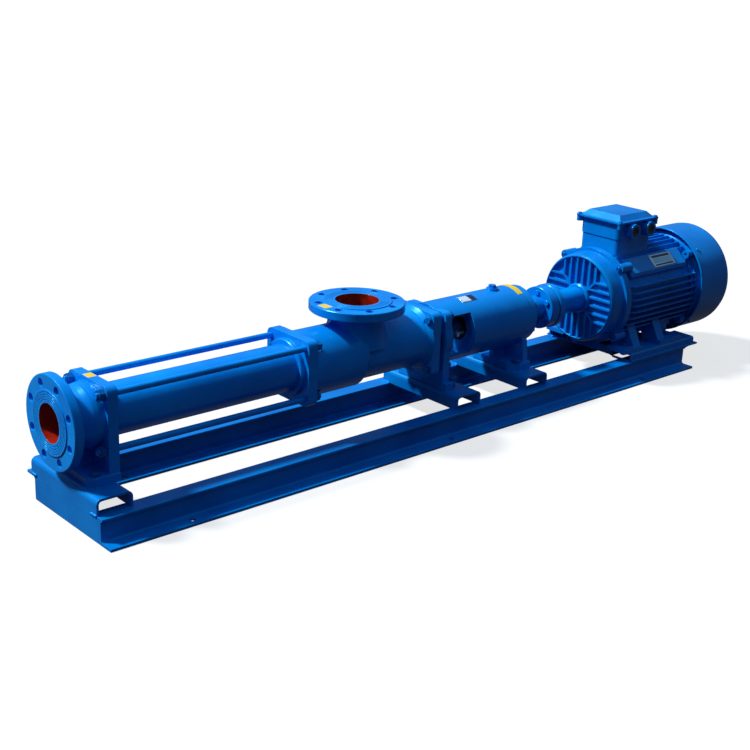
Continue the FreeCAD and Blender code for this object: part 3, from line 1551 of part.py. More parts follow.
def rating_plates():
    """Blank plates: one bent round the bearing bracket, one flat on the motor's pad."""
    x0 = bracket_x + bracket_label_x
    x1 = x0 + bracket_label_length
    arc = tube(x0, x1, bracket_radius + 0.9, bracket_radius + 0.1)
    wedge = box(x0 - 1, x1 + 1, bracket_label_near_y, bracket_label_far_y, bracket_radius * 0.5,
                bracket_radius + 10)
    bent = arc.common(wedge)
    reach = fin_tip_radius - 1
    mid = (frame_x + frame_end) / 2 + rating_plate_offset
    flat = box(mid - rating_plate_half_length, mid + rating_plate_half_length, -rating_plate_half_width,
               rating_plate_half_width, reach, reach + 0.8)
    flat.rotate(V(0, 0, 0), V(1, 0, 0), pad_angle)
    return [bent, flat]


def foot_bolts():
    """Bolts and nuts of the pump feet, through the feet and the channel tops."""
    z = -pump_foot_to_axis + foot_thickness
    length = foot_thickness + channel_wall + 16
    pieces = []
    one = bolt(0, 9, length, foot_bolt_radius, foot_bolt_flats)
    one.rotate(V(0, 0, 0), V(0, 1, 0), 90)
    for x, y in foot_bolt_places():
        pieces.append(moved(one, x, y, z))
        under = -pump_foot_to_axis - channel_wall - 11
        pieces.append(turn_up(nut(0, 11, foot_bolt_flats, foot_bolt_radius + seat_clearance), x, y, under))
    return pieces


def motor_bolts():
    """Bolts and nuts of the motor feet, through the feet and the motor rails."""
    z = -motor_shaft_height + motor_foot_pad
    pieces = []
    height = 7.0
    length = motor_foot_pad + motor_rail_wall + height + 2
    one = bolt(0, motor_bolt_head, length, motor_bolt_radius, motor_bolt_flats)
    one.rotate(V(0, 0, 0), V(0, 1, 0), 90)
    for x in motor_bolt_stations():
        for side in (-1, 1):
            y = side * motor_foot_y
            pieces.append(moved(one, x, y, z))
            under = -motor_shaft_height - motor_rail_wall - height
            pieces.append(turn_up(nut(0, height, motor_bolt_flats, motor_bolt_radius + seat_clearance), x, y, under))
    return pieces


def group(shapes):
    return Part.makeCompound(shapes)


def build():
    skid()
    put("discharge_casing", discharge_casing())
    put("tie_rods", group(tie_rods()))
    put("tie_rod_nuts", group(tie_rod_nuts()))
    put("stator_tube", tube(stator_x, stator_end, stator_radius, stator_radius - stator_wall))
    put("stator_liner", stator_liner())
    put("gaskets", group(gaskets()))
    put("rotor", rotor())
    put("rotor_joint_pin", joint_pin(rotor_joint_x, eccentricity))
    put("connecting_rod", connecting_rod())
    put("joint_boots", group(joint_boots()))
    put("drive_joint_pin", joint_pin(drive_joint_x, 0))
    put("suction_casing", suction_casing())
    put("stuffing_box", stuffing_box())
    put("packing_rings", group(packing_rings()))
    put("gland_follower", gland_follower())
    put("gland_studs", group(gland_studs()))
    put("gland_nuts", group(gland_nuts()))
    put("casing_bolts", group(corner_bolts()))
    put("bearing_bracket", bearing_bracket())
    put("bearing_cover", bearing_cover())
    put("cover_screws", group(cover_screws()))
    put("oil_seals", group(oil_seals()))
    put("filler_plug", filler_plug())
    rings = all_bearings()
    put("bearing_outer_rings", group([r[0] for r in rings]))
    put("bearing_inner_rings", group([r[1] for r in rings]))
    put("bearing_balls", group([r[2] for r in rings]))
    put("drive_shaft", drive_shaft())
    put("shaft_keys", group(shaft_keys()))
    put("pump_coupling_half", pump_coupling_half())
    put("motor_coupling_half", motor_coupling_half())
    put("coupling_pins", group(coupling_pins()))
    put("coupling_bushes", group(coupling_bushes()))
    put("motor_shaft", motor_shaft())
    put("motor_rotor", motor_rotor())
    put("motor_fan", motor_fan())
    put("motor_frame", motor_frame())
    put("motor_front_shield", front_shield())
    put("motor_rear_shield", rear_shield())
    put("shield_bolts", group(shield_bolts()))
    put("motor_stator_core", motor_stator_core())
    put("motor_windings", group(motor_windings()))
    put("fan_cowl", fan_cowl())
    put("small_screws", group(small_screws()))
    put("terminal_box", terminal_box())
    put("terminal_box_lid", terminal_box_lid())
    put("cable_glands", group(cable_glands()))
    put("terminal_board", terminal_board())
    put("rating_plates", group(rating_plates()))
    put("pump_foot_bolts", group(foot_bolts()))
    put("motor_foot_bolts", group(motor_bolts()))


build()
os.makedirs("parts", exist_ok=True)
for name, shape in nodes.items():
    shape.exportStep(os.path.join("parts", name + ".step"))
    print("%-24s solids %2d  volume %10.1f  valid %s" % (name, len(shape.Solids), shape.Volume, shape.isValid()))
print(len(nodes), "nodes")
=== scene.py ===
"""Looks of the progressive cavity pump: enamel, rubber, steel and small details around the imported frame."""

import math

import bmesh
import bpy
from mathutils import Matrix, Vector


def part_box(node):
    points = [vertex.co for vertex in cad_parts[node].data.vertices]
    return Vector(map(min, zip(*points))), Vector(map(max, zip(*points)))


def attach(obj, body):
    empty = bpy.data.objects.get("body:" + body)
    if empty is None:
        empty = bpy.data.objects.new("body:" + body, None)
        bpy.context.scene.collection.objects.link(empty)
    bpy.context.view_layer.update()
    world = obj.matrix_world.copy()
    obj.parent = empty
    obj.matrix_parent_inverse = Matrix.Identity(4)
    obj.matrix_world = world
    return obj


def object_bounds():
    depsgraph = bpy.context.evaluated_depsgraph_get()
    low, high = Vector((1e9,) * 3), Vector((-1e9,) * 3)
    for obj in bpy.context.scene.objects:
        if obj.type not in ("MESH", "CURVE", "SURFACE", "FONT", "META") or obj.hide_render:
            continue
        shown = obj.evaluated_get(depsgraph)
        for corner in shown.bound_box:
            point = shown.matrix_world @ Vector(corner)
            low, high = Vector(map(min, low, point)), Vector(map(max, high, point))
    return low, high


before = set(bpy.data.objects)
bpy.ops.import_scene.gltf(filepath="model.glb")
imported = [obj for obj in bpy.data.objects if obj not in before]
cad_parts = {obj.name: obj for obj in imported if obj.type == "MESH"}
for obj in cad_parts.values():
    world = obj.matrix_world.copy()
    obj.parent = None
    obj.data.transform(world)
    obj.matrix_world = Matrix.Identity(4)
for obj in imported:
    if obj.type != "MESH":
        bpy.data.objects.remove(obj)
cad_low, cad_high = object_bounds()


# Places
def middle(node, axis):
    """The middle of a node's box along X, Y or Z, in metres, to a tenth of a millimetre."""
    i = "XYZ".index(axis)
    low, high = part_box(node)
    return round((low[i] + high[i]) / 2, 4)


# The pump axis and the discharge face, from which the stations along the axis are counted
AXIS_Y = middle("drive_shaft", "Y")
AXIS_Z = middle("drive_shaft", "Z")
SHIFT_X = round(cad_low[0], 4)
# The suction branch's station, in metres
BRANCH_STATION = 0.772


def at(x, y, z):
    """A point in the row frame, from millimetres along the pump axis, across it and over it."""
    return Vector((x / 1000 + SHIFT_X, y / 1000 + AXIS_Y, z / 1000 + AXIS_Z))


def span(node, axis):
    """Both ends of a node's box along X, Y or Z, in the millimetres that at() takes."""
    i = "XYZ".index(axis)
    origin = (SHIFT_X, AXIS_Y, AXIS_Z)[i]
    return [round((corner[i] - origin) * 1000, 2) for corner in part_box(node)]


def new_object(name, data):
    """A new object, linked to the scene."""
    o = bpy.data.objects.new(name, data)
    bpy.context.scene.collection.objects.link(o)
    return o


# Shader nodes
BLACK = (0, 0, 0, 1)
WHITE = (1, 1, 1, 1)


def feed(tree, socket, value):
    """Link a socket to another one, or set its value."""
    if isinstance(value, bpy.types.NodeSocket):
        tree.links.new(value, socket)
    else:
        socket.default_value = value


def add(tree, kind, **settings):
    """A new node. A key is a property after p_, a numbered input after i, or an input's name."""
    n = tree.nodes.new(kind)
    for key, value in settings.items():
        if key.startswith("p_"):
            setattr(n, key[2:], value)
        elif key[0] == "i" and key[1:].isdigit():
            feed(tree, n.inputs[int(key[1:])], value)
        else:
            feed(tree, n.inputs[key.replace("_", " ")], value)
    return n


def new_material(name):
    """An empty material and its node tree."""
    m = bpy.data.materials.new(name)
    m.use_nodes = True
    m.node_tree.nodes.clear()
    return m, m.node_tree


def finished(material, tree, **settings):
    """The material, closed with its surface shader."""
    shader = add(tree, "ShaderNodeBsdfPrincipled", **settings)
    add(tree, "ShaderNodeOutputMaterial", Surface=shader.outputs[0])
    return material


def place(tree):
    """The place of a point on the object."""
    return add(tree, "ShaderNodeTexCoord").outputs["Object"]


def noise(tree, where, scale, detail=3.0, rough=0.55):
    """Noise with a scale in marks per metre."""
    n = add(tree, "ShaderNodeTexNoise", Vector=where, Scale=scale, Detail=detail, Roughness=rough)
    return n.outputs["Fac"]


def ramp(tree, fac, low, high, first=BLACK, last=WHITE):
    """A smooth change from the first colour at low to the last at high."""
    n = add(tree, "ShaderNodeValToRGB", Fac=fac)
    start, end = n.color_ramp.elements
    start.position, start.color = low, first
    end.position, end.color = high, last
    return n.outputs["Color"]


def mix(tree, fac, a, b):
    """Colour a at 0 and b at 1."""
    return add(tree, "ShaderNodeMix", p_data_type="RGBA", i0=fac, i6=a, i7=b).outputs[2]


def maths(tree, kind, a, b=0.0):
    """The result of a sum of the named kind."""
    return add(tree, "ShaderNodeMath", p_operation=kind, i0=a, i1=b).outputs[0]


def rgb(r, g, b):
    """A colour written in 0 to 255 sRGB, as the linear value that a socket takes."""
    linear = []
    for c in (r / 255, g / 255, b / 255):
        linear.append(c / 12.92 if c <= 0.04045 else ((c + 0.055) / 1.055) ** 2.4)
    return (*linear, 1.0)


def scaled(colour, factor, more=0.0):
    """A lighter or darker form of a colour."""
    return tuple(min(1.0, c * factor + more) for c in colour[:3]) + (1.0,)


def radial(tree, where, centre, axis):
    """Distance of a point from a line along the named axis through the centre."""
    parts = add(tree, "ShaderNodeSeparateXYZ", Vector=where).outputs
    squares = []
    for letter, part, origin in zip("XYZ", parts, centre):
        if letter != axis:
            d = maths(tree, "SUBTRACT", part, origin)
            squares.append(maths(tree, "MULTIPLY", d, d))
    return maths(tree, "SQRT", maths(tree, "ADD", *squares))


def soft_edges(tree, radius):
    """The rounded normal of the edges, and a mask that is 1 on flat faces and lower towards the edges."""
    bevel = add(tree, "ShaderNodeBevel", p_samples=4, Radius=radius).outputs["Normal"]
    true = add(tree, "ShaderNodeNewGeometry").outputs["Normal"]
    dot = add(tree, "ShaderNodeVectorMath", p_operation="DOT_PRODUCT", i0=bevel, i1=true)
    return bevel, dot.outputs["Value"]


# Enamel: how many clouds, waves, dull places and dirt spots there are to a metre, how much of the dirt,
# the fine grain and the painted edge highlight shows, and by how much the highlight's colour and the
# roughness change
CLOUDS = 7.0
WAVES = 22.0
DULL_PLACES = 15.0
DIRT_SPOTS = 38.0
DIRT_SHARE = 0.35
FINE_SHARE = 0.35
EDGE_HIGHLIGHT_SHARE = 0.35
EDGE_HIGHLIGHT_FACTOR = 1.3
EDGE_HIGHLIGHT_LIFT = 0.004
GLOSSY_FACTOR = 0.75
DULL_FACTOR = 1.3
ENAMEL_SPECULAR = 0.6
ENAMEL_TINT = (0.12, 0.85, 1.0, 1.0)
PRIMER_CLOUDS = 45.0
PRIMER_RED = rgb(176, 38, 14)
PRIMER_DARK = rgb(120, 22, 10)


def primed(tree, where, paint, centre, axis, radius, floor):
    """The paint, with red primer in a bore: nearer to its line than the radius, and over a floor height."""
    inside = maths(tree, "LESS_THAN", radial(tree, where, centre, axis), radius)
    height = add(tree, "ShaderNodeSeparateXYZ", Vector=where).outputs["Z"]
    inside = maths(tree, "MULTIPLY", inside, maths(tree, "GREATER_THAN", height, floor))
    clouds = ramp(tree, noise(tree, where, PRIMER_CLOUDS, detail=5.0), low=0.35, high=0.7)
    return mix(tree, inside, paint, mix(tree, clouds, PRIMER_RED, PRIMER_DARK))


def enamel(name, colour, dark, rough, grain, depth, edge, bore=None):
    """Gloss enamel over cast or rolled metal: an uneven film with fine grain, and edges painted paler as a
    painted highlight.

    The grain is in marks per metre, its depth and the edge radius in metres. A bore gets red primer."""
    m, t = new_material(name)
    where = place(t)
    base = mix(t, ramp(t, noise(t, where, CLOUDS, detail=4.0), low=0.3, high=0.72), dark, colour)
    dirt = ramp(t, noise(t, where, DIRT_SPOTS, detail=6.0, rough=0.7), low=0.62, high=0.8)
    base = mix(t, maths(t, "MULTIPLY", dirt, DIRT_SHARE), base, dark)
    normal, flat = soft_edges(t, edge)
    # Painted highlight: the edges are painted a paler blue, standing in for the highlights that light puts
    # along them
    edges = ramp(t, flat, low=0.80, high=0.985, first=WHITE, last=BLACK)
    base = mix(t, maths(t, "MULTIPLY", edges, EDGE_HIGHLIGHT_SHARE), base,
               scaled(colour, EDGE_HIGHLIGHT_FACTOR, EDGE_HIGHLIGHT_LIFT))
    if bore is not None:
        base = primed(t, where, base, *bore)
    fine = maths(t, "MULTIPLY", noise(t, where, grain, detail=5.0, rough=0.6), FINE_SHARE)
    height = maths(t, "ADD", fine, noise(t, where, WAVES, detail=2.0))
    bump = add(t, "ShaderNodeBump", Height=height, Normal=normal, Distance=depth, Strength=0.6)
    shine = add(t, "ShaderNodeMapRange", Value=noise(t, where, DULL_PLACES),
                To_Min=rough * GLOSSY_FACTOR, To_Max=rough * DULL_FACTOR)
    return finished(m, t, Base_Color=base, Roughness=shine.outputs[0], Normal=bump.outputs[0],
                    Specular_IOR_Level=ENAMEL_SPECULAR, Specular_Tint=ENAMEL_TINT)


# Metal, rubber and the rest: marks to a metre, and the depth of the grain and radius of the edges in metres
TARNISH_CLOUDS = 30.0
TARNISH_FACTOR = 0.7
METAL_GRAIN = 350.0
METAL_STREAKS = 500.0
METAL_DEPTH = 0.00005
RUST_SPOTS = 60.0
RUST = rgb(110, 62, 34)
PLAIN_CLOUDS = 50.0
FINE_EDGE = 0.0006


def metal(name, colour, rough, turned_about=None, worn=0.0):
    """Turned or ground metal, with a little tarnish.

    turned_about is a centre, an axis and the turning marks per metre."""
    m, t = new_material(name)
    where = place(t)
    tarnish = ramp(t, noise(t, where, TARNISH_CLOUDS, detail=5.0), low=0.35, high=0.75)
    base = mix(t, tarnish, colour, scaled(colour, TARNISH_FACTOR))
    normal, _ = soft_edges(t, FINE_EDGE)
    if turned_about is None:
        height = noise(t, where, METAL_GRAIN, detail=4.0)
    else:
        centre, axis, rings = turned_about
        ring = maths(t, "FRACT", maths(t, "MULTIPLY", radial(t, where, centre, axis), rings))
        height = maths(t, "ADD", ring, noise(t, where, METAL_STREAKS))
    bump = add(t, "ShaderNodeBump", Height=height, Normal=normal, Distance=METAL_DEPTH, Strength=0.5)
    if worn:
        rust = ramp(t, noise(t, where, RUST_SPOTS, detail=8.0, rough=0.7), low=0.6, high=0.72)
        base = mix(t, maths(t, "MULTIPLY", rust, worn), base, RUST)
    return finished(m, t, Base_Color=base, Roughness=rough, Metallic=1.0, Normal=bump.outputs[0])


def plain(name, colour, rough, grain=400.0, depth=0.0001, spread=0.25):
    """Rubber, plastic, yarn or a film: a slightly uneven colour with fine grain."""
    m, t = new_material(name)
    where = place(t)
    clouds = ramp(t, noise(t, where, PLAIN_CLOUDS, detail=5.0), low=0.35, high=0.7)
    base = mix(t, clouds, colour, scaled(colour, 1 - spread))
    normal, _ = soft_edges(t, FINE_EDGE)
    height = noise(t, where, grain, detail=4.0)
    bump = add(t, "ShaderNodeBump", Height=height, Normal=normal, Distance=depth, Strength=0.5)
    return finished(m, t, Base_Color=base, Roughness=rough, Normal=bump.outputs[0])


# Paints
BLUE = rgb(0, 150, 242)
DEEP_BLUE = rgb(0, 120, 218)
CAST = {"rough": 0.27, "grain": 300.0, "depth": 0.0005, "edge": 0.0016}

# The bores' lines, and how far from them and from which height up the primer reaches, in metres
AXIS_LINE = (0.0, AXIS_Y, AXIS_Z)
BRANCH_LINE = (BRANCH_STATION + SHIFT_X, AXIS_Y, 0.0)
DISCHARGE_PRIMER = 0.0403
SUCTION_PRIMER = 0.0503
SUCTION_PRIMER_FLOOR = AXIS_Z - 0.071

skid_paint = enamel("skid_paint", rgb(0, 132, 218), rgb(0, 102, 190),
                    rough=0.32, grain=180.0, depth=0.0002, edge=0.0015)
cast_paint = enamel("cast_paint", BLUE, DEEP_BLUE, **CAST)
smooth_paint = enamel("smooth_paint", BLUE, DEEP_BLUE,
                      rough=0.2, grain=150.0, depth=0.0002, edge=0.0012)
motor_paint = enamel("motor_paint", rgb(0, 140, 228), rgb(0, 110, 202),
                     rough=0.26, grain=260.0, depth=0.0003, edge=0.0014)
bolt_paint = enamel("bolt_paint", rgb(0, 106, 186), rgb(0, 66, 134),
                    rough=0.3, grain=300.0, depth=0.0002, edge=0.0008)
gland_paint = enamel("gland_paint", rgb(0, 84, 160), rgb(0, 50, 110),
                     rough=0.38, grain=260.0, depth=0.0003, edge=0.0010)
# Painted shade: the stuffing box in the recess between the flanges gets this dark navy copy of the blue,
# standing in for the shade there
recess_shade_paint = enamel("recess_shade_paint", rgb(0, 44, 92), rgb(0, 24, 56),
                      rough=0.42, grain=260.0, depth=0.0003, edge=0.0010)
discharge_paint = enamel("discharge_paint", BLUE, DEEP_BLUE, **CAST,
                         bore=(AXIS_LINE, "X", DISCHARGE_PRIMER, 0.0))
suction_paint = enamel("suction_paint", BLUE, DEEP_BLUE, **CAST,
                       bore=(BRANCH_LINE, "Z", SUCTION_PRIMER, SUCTION_PRIMER_FLOOR))

# Metals
chrome = metal("hard_chrome", (0.78, 0.79, 0.82, 1), rough=0.12)
turned_steel = metal("turned_steel", (0.56, 0.57, 0.6, 1), rough=0.28,
                     turned_about=(AXIS_LINE, "X", 900.0), worn=0.15)
bright = metal("zinc_steel", (0.6, 0.61, 0.63, 1), rough=0.32, worn=0.1)
bearing = metal("bearing_steel", (0.66, 0.67, 0.7, 1), rough=0.16)
copper = metal("copper_wire", (0.72, 0.33, 0.14, 1), rough=0.35)
lamination = metal("lamination", (0.3, 0.3, 0.32, 1), rough=0.45)
plate_metal = metal("plate_metal", (0.62, 0.66, 0.72, 1), rough=0.3)

# Rubber, plastic, yarn and films
rubber = plain("black_rubber", rgb(22, 22, 24), rough=0.7)
plastic = plain("black_plastic", rgb(18, 20, 26), rough=0.4)
yarn = plain("packing_yarn", rgb(60, 58, 54), rough=0.9, grain=900.0, depth=0.0006)
yellow = plain("yellow_film", rgb(246, 206, 40), rough=0.35, grain=200.0, depth=0.00003, spread=0.08)
pale_film = plain("pale_film", rgb(206, 218, 232), rough=0.35, grain=200.0, depth=0.00003, spread=0.08)
dark_film = plain("dark_film", rgb(8, 40, 96), rough=0.35, grain=200.0, depth=0.00003, spread=0.1)

looks = {
    skid_paint: ["near_side_rail", "far_side_rail", "front_end_plate", "rear_end_plate",
                 "front_cross_channel", "middle_cross_channel", "rear_cross_channel", "near_motor_rail",
                 "far_motor_rail", "motor_cross_member"],
    cast_paint: ["bearing_bracket", "bearing_cover"],
    discharge_paint: ["discharge_casing"],
    suction_paint: ["suction_casing"],
    smooth_paint: ["stator_tube", "tie_rods", "pump_coupling_half", "motor_coupling_half", "coupling_pins",
                   "filler_plug"],
    recess_shade_paint: ["stuffing_box"],
    motor_paint: ["motor_frame", "motor_front_shield", "motor_rear_shield", "fan_cowl", "terminal_box",
                  "terminal_box_lid", "cable_glands", "small_screws"],
    bolt_paint: ["tie_rod_nuts", "casing_bolts", "cover_screws", "pump_foot_bolts", "motor_foot_bolts",
                 "shield_bolts"],
    gland_paint: ["gland_follower"],
    chrome: ["rotor"],
    turned_steel: ["drive_shaft", "motor_shaft", "connecting_rod"],
    bright: ["rotor_joint_pin", "drive_joint_pin", "shaft_keys", "gland_studs", "gland_nuts"],
    bearing: ["bearing_outer_rings", "bearing_inner_rings", "bearing_balls"],
    rubber: ["stator_liner", "joint_boots", "gaskets", "oil_seals", "coupling_bushes"],
    yarn: ["packing_rings"],
    lamination: ["motor_stator_core", "motor_rotor"],
    copper: ["motor_windings"],
    plastic: ["motor_fan", "terminal_board"],
    plate_metal: ["rating_plates"],
}
for material, names in looks.items():
    for name in names:
        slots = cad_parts[name].data.materials
        slots.clear()
        slots.append(material)


# Small pieces that stand on the frame's nodes. A finish is a material, the body to ride on, and a slot.
WELD_FINISH = (skid_paint, "base", "skid_enamel")
THREAD_FINISH = (bolt_paint, "base", "pump_enamel")
PALE_FINISH = (pale_film, "base", "plate_metal")
YELLOW_FINISH = (yellow, "base", "plate_metal")
DARK_FINISH = (dark_film, "base", "plate_metal")
RIVET_FINISH = (bright, "base", "plate_metal")
PLUG_FINISH = (plastic, "base", "black_plastic")
COWL_FINISH = (motor_paint, "base", "motor_enamel")
MERGE_DISTANCE = 1e-7


def piece(name, verts, faces, finish, smooth=True):
    """A mesh piece that moves with its finish's body and takes its look from its finish's material."""
    material, body, slot = finish
    shape = bmesh.new()
    corners = [shape.verts.new(v) for v in verts]
    for face in faces:
        shape.faces.new([corners[i] for i in face])
    bmesh.ops.remove_doubles(shape, verts=shape.verts, dist=MERGE_DISTANCE)
    bmesh.ops.recalc_face_normals(shape, faces=shape.faces)
    for face in shape.faces:
        face.smooth = smooth
    mesh = bpy.data.meshes.new(name)
    shape.to_mesh(mesh)
    shape.free()
    mesh.materials.append(material)
    o = new_object(name, mesh)
    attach(o, body)


def rings_to_faces(count, sides, closed=False):
    """Faces between successive rings of points, with a cap at each end unless the rings are closed."""
    faces = []
    for i in range(count if closed else count - 1):
        here, there = i * sides, (i + 1) % count * sides
        for j in range(sides):
            k = (j + 1) % sides
            faces.append((here + j, here + k, there + k, there + j))
    if not closed:
        faces.append(tuple(range(sides)))
        faces.append(tuple((count - 1) * sides + j for j in reversed(range(sides))))
    return faces


def circle(radius, sides):
    """Points of a circle, as pairs of cosine and sine times the radius."""
    angles = [2 * math.pi * j / sides for j in range(sides)]
    return [(radius * math.cos(t), radius * math.sin(t)) for t in angles]


def four_corners(a, b):
    """The corners of a rectangle of half sizes a and b: the two at +b, then the two at -b."""
    return [(-a, b), (a, b), (-a, -b), (a, -b)]


TURNED_SIDES = 48


def turned(name, profile, centre, axis, finish, sides=TURNED_SIDES):
    """A piece turned from pairs of station and radius, along the X or Y line through the centre."""
    x, y, z = centre
    verts = []
    for station, radius in profile:
        for u, v in circle(radius, sides):
            verts.append(at(x + station, y + u, z + v) if axis == "X" else at(x + u, y + station, z + v))
    piece(name, verts, rings_to_faces(len(profile), sides), finish)


# Welds, in millimetres: ripples along the bead, a slow swell of its radius and a slow wander to the side
WELD_RADIUS = 3.2
WELD_STEP = 1.5
WELD_SIDES = 10
RIPPLE_LENGTH = 5.5
RIPPLE_SHARE = 0.13
SWELL_RATE = 0.37
SWELL_SHARE = 0.05
WANDER_RATE = 0.21
WANDER = 0.35
TAPER_RINGS = 3.0
BLUNT_END = 0.12
CHANNEL_SEED_RATE = 0.1
STITCH_SEED = 1.5
END_BEAD_SEED = 4.0


def weld(name, start, end, seed):
    """A rippled fillet weld along a straight joint, given by its two ends; the seed shifts its ripples."""
    start, end = Vector(start), Vector(end)
    length = (end - start).length
    along = (end - start).normalized()
    across = along.cross(Vector((0, 0, 1))).normalized()
    lift = across.cross(along).normalized()
    count = max(4, int(length / WELD_STEP))
    verts = []
    for i in range(count + 1):
        d = length * i / count
        taper = min(1.0, math.sqrt(min(i, count - i) / TAPER_RINGS + BLUNT_END))
        ripple = RIPPLE_SHARE * math.sin(2 * math.pi * d / RIPPLE_LENGTH + seed)
        swell = SWELL_SHARE * math.sin(d * SWELL_RATE + 2 * seed)
        centre = start + along * d + across * WANDER * math.sin(d * WANDER_RATE + seed)
        for u, v in circle(WELD_RADIUS * taper * (1 + ripple + swell), WELD_SIDES):
            verts.append(at(*(centre + across * u + lift * v)))
    piece(name, verts, rings_to_faces(count + 1, WELD_SIDES), WELD_FINISH)


# The side rails' top flanges: their height, and the inner edge of the near one, which the far one mirrors
RAIL_TOP = span("near_side_rail", "Z")[1]
RAIL_INNER_EDGE = span("near_side_rail", "Y")[1]


def channel_welds():
    """A bead on each side of each cross channel, where it stands on the side rails."""
    near_end, far_end = span("front_cross_channel", "Y")
    for n, label in enumerate(("front", "middle", "rear")):
        x_ends = span(label + "_cross_channel", "X")
        for side, y0, y1 in (("near", near_end, RAIL_INNER_EDGE), ("far", -RAIL_INNER_EDGE, far_end)):
            for end, x in zip("ab", x_ends):
                name = "weld_%s_%s_%s" % (label, side, end)
                weld(name, (x, y0, RAIL_TOP), (x, y1, RAIL_TOP), n + y0 * CHANNEL_SEED_RATE)


# Beads along the motor rails' lips: how far in, how long and how far apart; and one across each front end
STITCH_COUNT = 3
STITCH_INSET = 18.0
STITCH_LENGTH = 42.0
STITCH_PITCH = 96.0
STITCH_LIFT = 0.3
STITCH_FROM_EDGE = 4.0
END_BEAD_INNER_Y = 81.0
END_BEAD_OUTER_Y = 141.7


def motor_rail_welds():
    """The beads of both motor rails on the side rails."""
    start = span("near_motor_rail", "X")[0]
    outer = span("far_motor_rail", "Y")[1] - STITCH_FROM_EDGE
    z = RAIL_TOP + STITCH_LIFT
    for k in range(STITCH_COUNT):
        x = start + STITCH_INSET + k * STITCH_PITCH
        for side, y in (("near", -outer), ("far", outer)):
            name = "weld_motor_rail_%s_%d" % (side, k)
            weld(name, (x, y, z), (x + STITCH_LENGTH, y, z), k + STITCH_SEED)
    for side, sign in (("near", -1), ("far", 1)):
        weld("weld_motor_rail_end_%s" % side, (start, sign * END_BEAD_INNER_Y, RAIL_TOP),
             (start, sign * END_BEAD_OUTER_Y, RAIL_TOP), END_BEAD_SEED)


# Threads of the tie rods, in millimetres
TIE_ROD_Y = 60.0
TIE_ROD_Z = 58.0
THREAD_RADIUS = 7.15
THREAD_PITCH = 1.75
THREAD_DEPTH = 0.9
THREAD_SIDES = 28
THREAD_INSET = 0.4
THREAD_TIP_FACTOR = 0.5


def thread(name, x0, x1, y, z):
    """The visible threads of a rod between two stations, with chamfered ends."""
    root = THREAD_RADIUS - THREAD_DEPTH
    tip = THREAD_RADIUS * THREAD_TIP_FACTOR
    count = int(abs(x1 - x0) / THREAD_PITCH)
    step = (x1 - x0) / count
    profile = [(x0, tip), (x0, root)]
    for i in range(count):
        for share, radius in ((0.25, THREAD_RADIUS), (0.5, THREAD_RADIUS), (0.95, root)):
            profile.append((x0 + step * (i + share), radius))
    profile.append((x1, tip))
    turned(name, profile, (0, y, z), "X", THREAD_FINISH, THREAD_SIDES)


def tie_rod_threads():
    """The ends of the four tie rods, past their nuts."""
    rods = span("tie_rods", "X")
    nuts = span("tie_rod_nuts", "X")
    for i, (y, z) in enumerate(four_corners(TIE_ROD_Y, TIE_ROD_Z)):
        thread("tie_thread_front_%d" % i, rods[0] + THREAD_INSET, nuts[0], y, z)
        thread("tie_thread_rear_%d" % i, rods[1] - THREAD_INSET, nuts[1], y, z)


# Films, in millimetres
FILM_THICK = 0.25
FILM_STEP = 2.5
FILM_GAP = 0.02
CORNER_POINTS = 5
FILM_RINGS = (0.02, 0.2, 0.4, 0.6, 0.8, 1.0)


def rounded_outline(width, height, corner):
    """The rim of a sheet with round corners, divided so that it can follow a barrel."""
    u, v = width / 2 - corner, height / 2 - corner
    points = []
    for middle_u, middle_v, start in ((u, v, 0), (-u, v, 90), (-u, -v, 180), (u, -v, 270)):
        for k in range(CORNER_POINTS):
            t = math.radians(start + 90 * k / (CORNER_POINTS - 1))
            points.append((middle_u + corner * math.cos(t), middle_v + corner * math.sin(t)))
    rim = []
    for (u, v), (next_u, next_v) in zip(points, points[1:] + points[:1]):
        parts = max(1, int(math.hypot(next_u - u, next_v - v) / FILM_STEP))
        rim += [(u + (next_u - u) * k / parts, v + (next_v - v) * k / parts) for k in range(parts)]
    return rim


def film(name, width, height, corner, spot, finish, lift=0.0, thick=FILM_THICK):
    """A thin sheet with round corners; spot(u, v, h) gives the point at a height over the surface."""
    rim = rounded_outline(width, height, corner)
    top = [spot(u * k, v * k, lift + thick) for k in FILM_RINGS for u, v in rim]
    bottom = [spot(u * k, v * k, lift) for k in reversed(FILM_RINGS) for u, v in rim]
    piece(name, top + bottom, rings_to_faces(2 * len(FILM_RINGS), len(rim)), finish, smooth=False)


def flat_spot(x, y, z):
    """On a level face at z, about the point at x and y."""
    return lambda u, v, h: at(x + u, y + v, z + h)


def round_spot(x, angle, radius):
    """On a barrel about the pump axis, about the point at x and an angle from the top towards +Y."""
    def spot(u, v, h):
        t = angle + v / radius
        return at(x + u, (radius + h) * math.sin(t), (radius + h) * math.cos(t))
    return spot


def tilted_spot(x, across, reach, angle):
    """On a flat pad that is turned from the top towards the near side, at a reach from the pump axis."""
    s, c = math.sin(angle), math.cos(angle)

    def spot(u, v, h):
        v += across
        return at(x + u, v * c - (reach + h) * s, v * s + (reach + h) * c)
    return spot


# Yellow stickers on pale ones, with no lettering: name, length along the pump axis, width across it, x, y, z
STICKERS = (
    ("discharge_mark", 19.5, 25.0, 97.0, 11.5, 75.0),
    ("suction_mark", 22.0, 30.0, 682.0, 4.0, 120.0),
)
STICKER_BORDER = 1.5
PALE_CORNER = 1.5
YELLOW_CORNER = 1.0
YELLOW_THICK = 0.15


def stickers():
    """One sticker on the discharge casing's square plate and one on the suction branch's flange."""
    for name, length, width, x, y, z in STICKERS:
        spot = flat_spot(x, y, z)
        film(name + "_border", length, width, PALE_CORNER, spot, PALE_FINISH)
        film(name, length - 2 * STICKER_BORDER, width - 2 * STICKER_BORDER, YELLOW_CORNER, spot,
             YELLOW_FINISH, lift=FILM_THICK, thick=YELLOW_THICK)


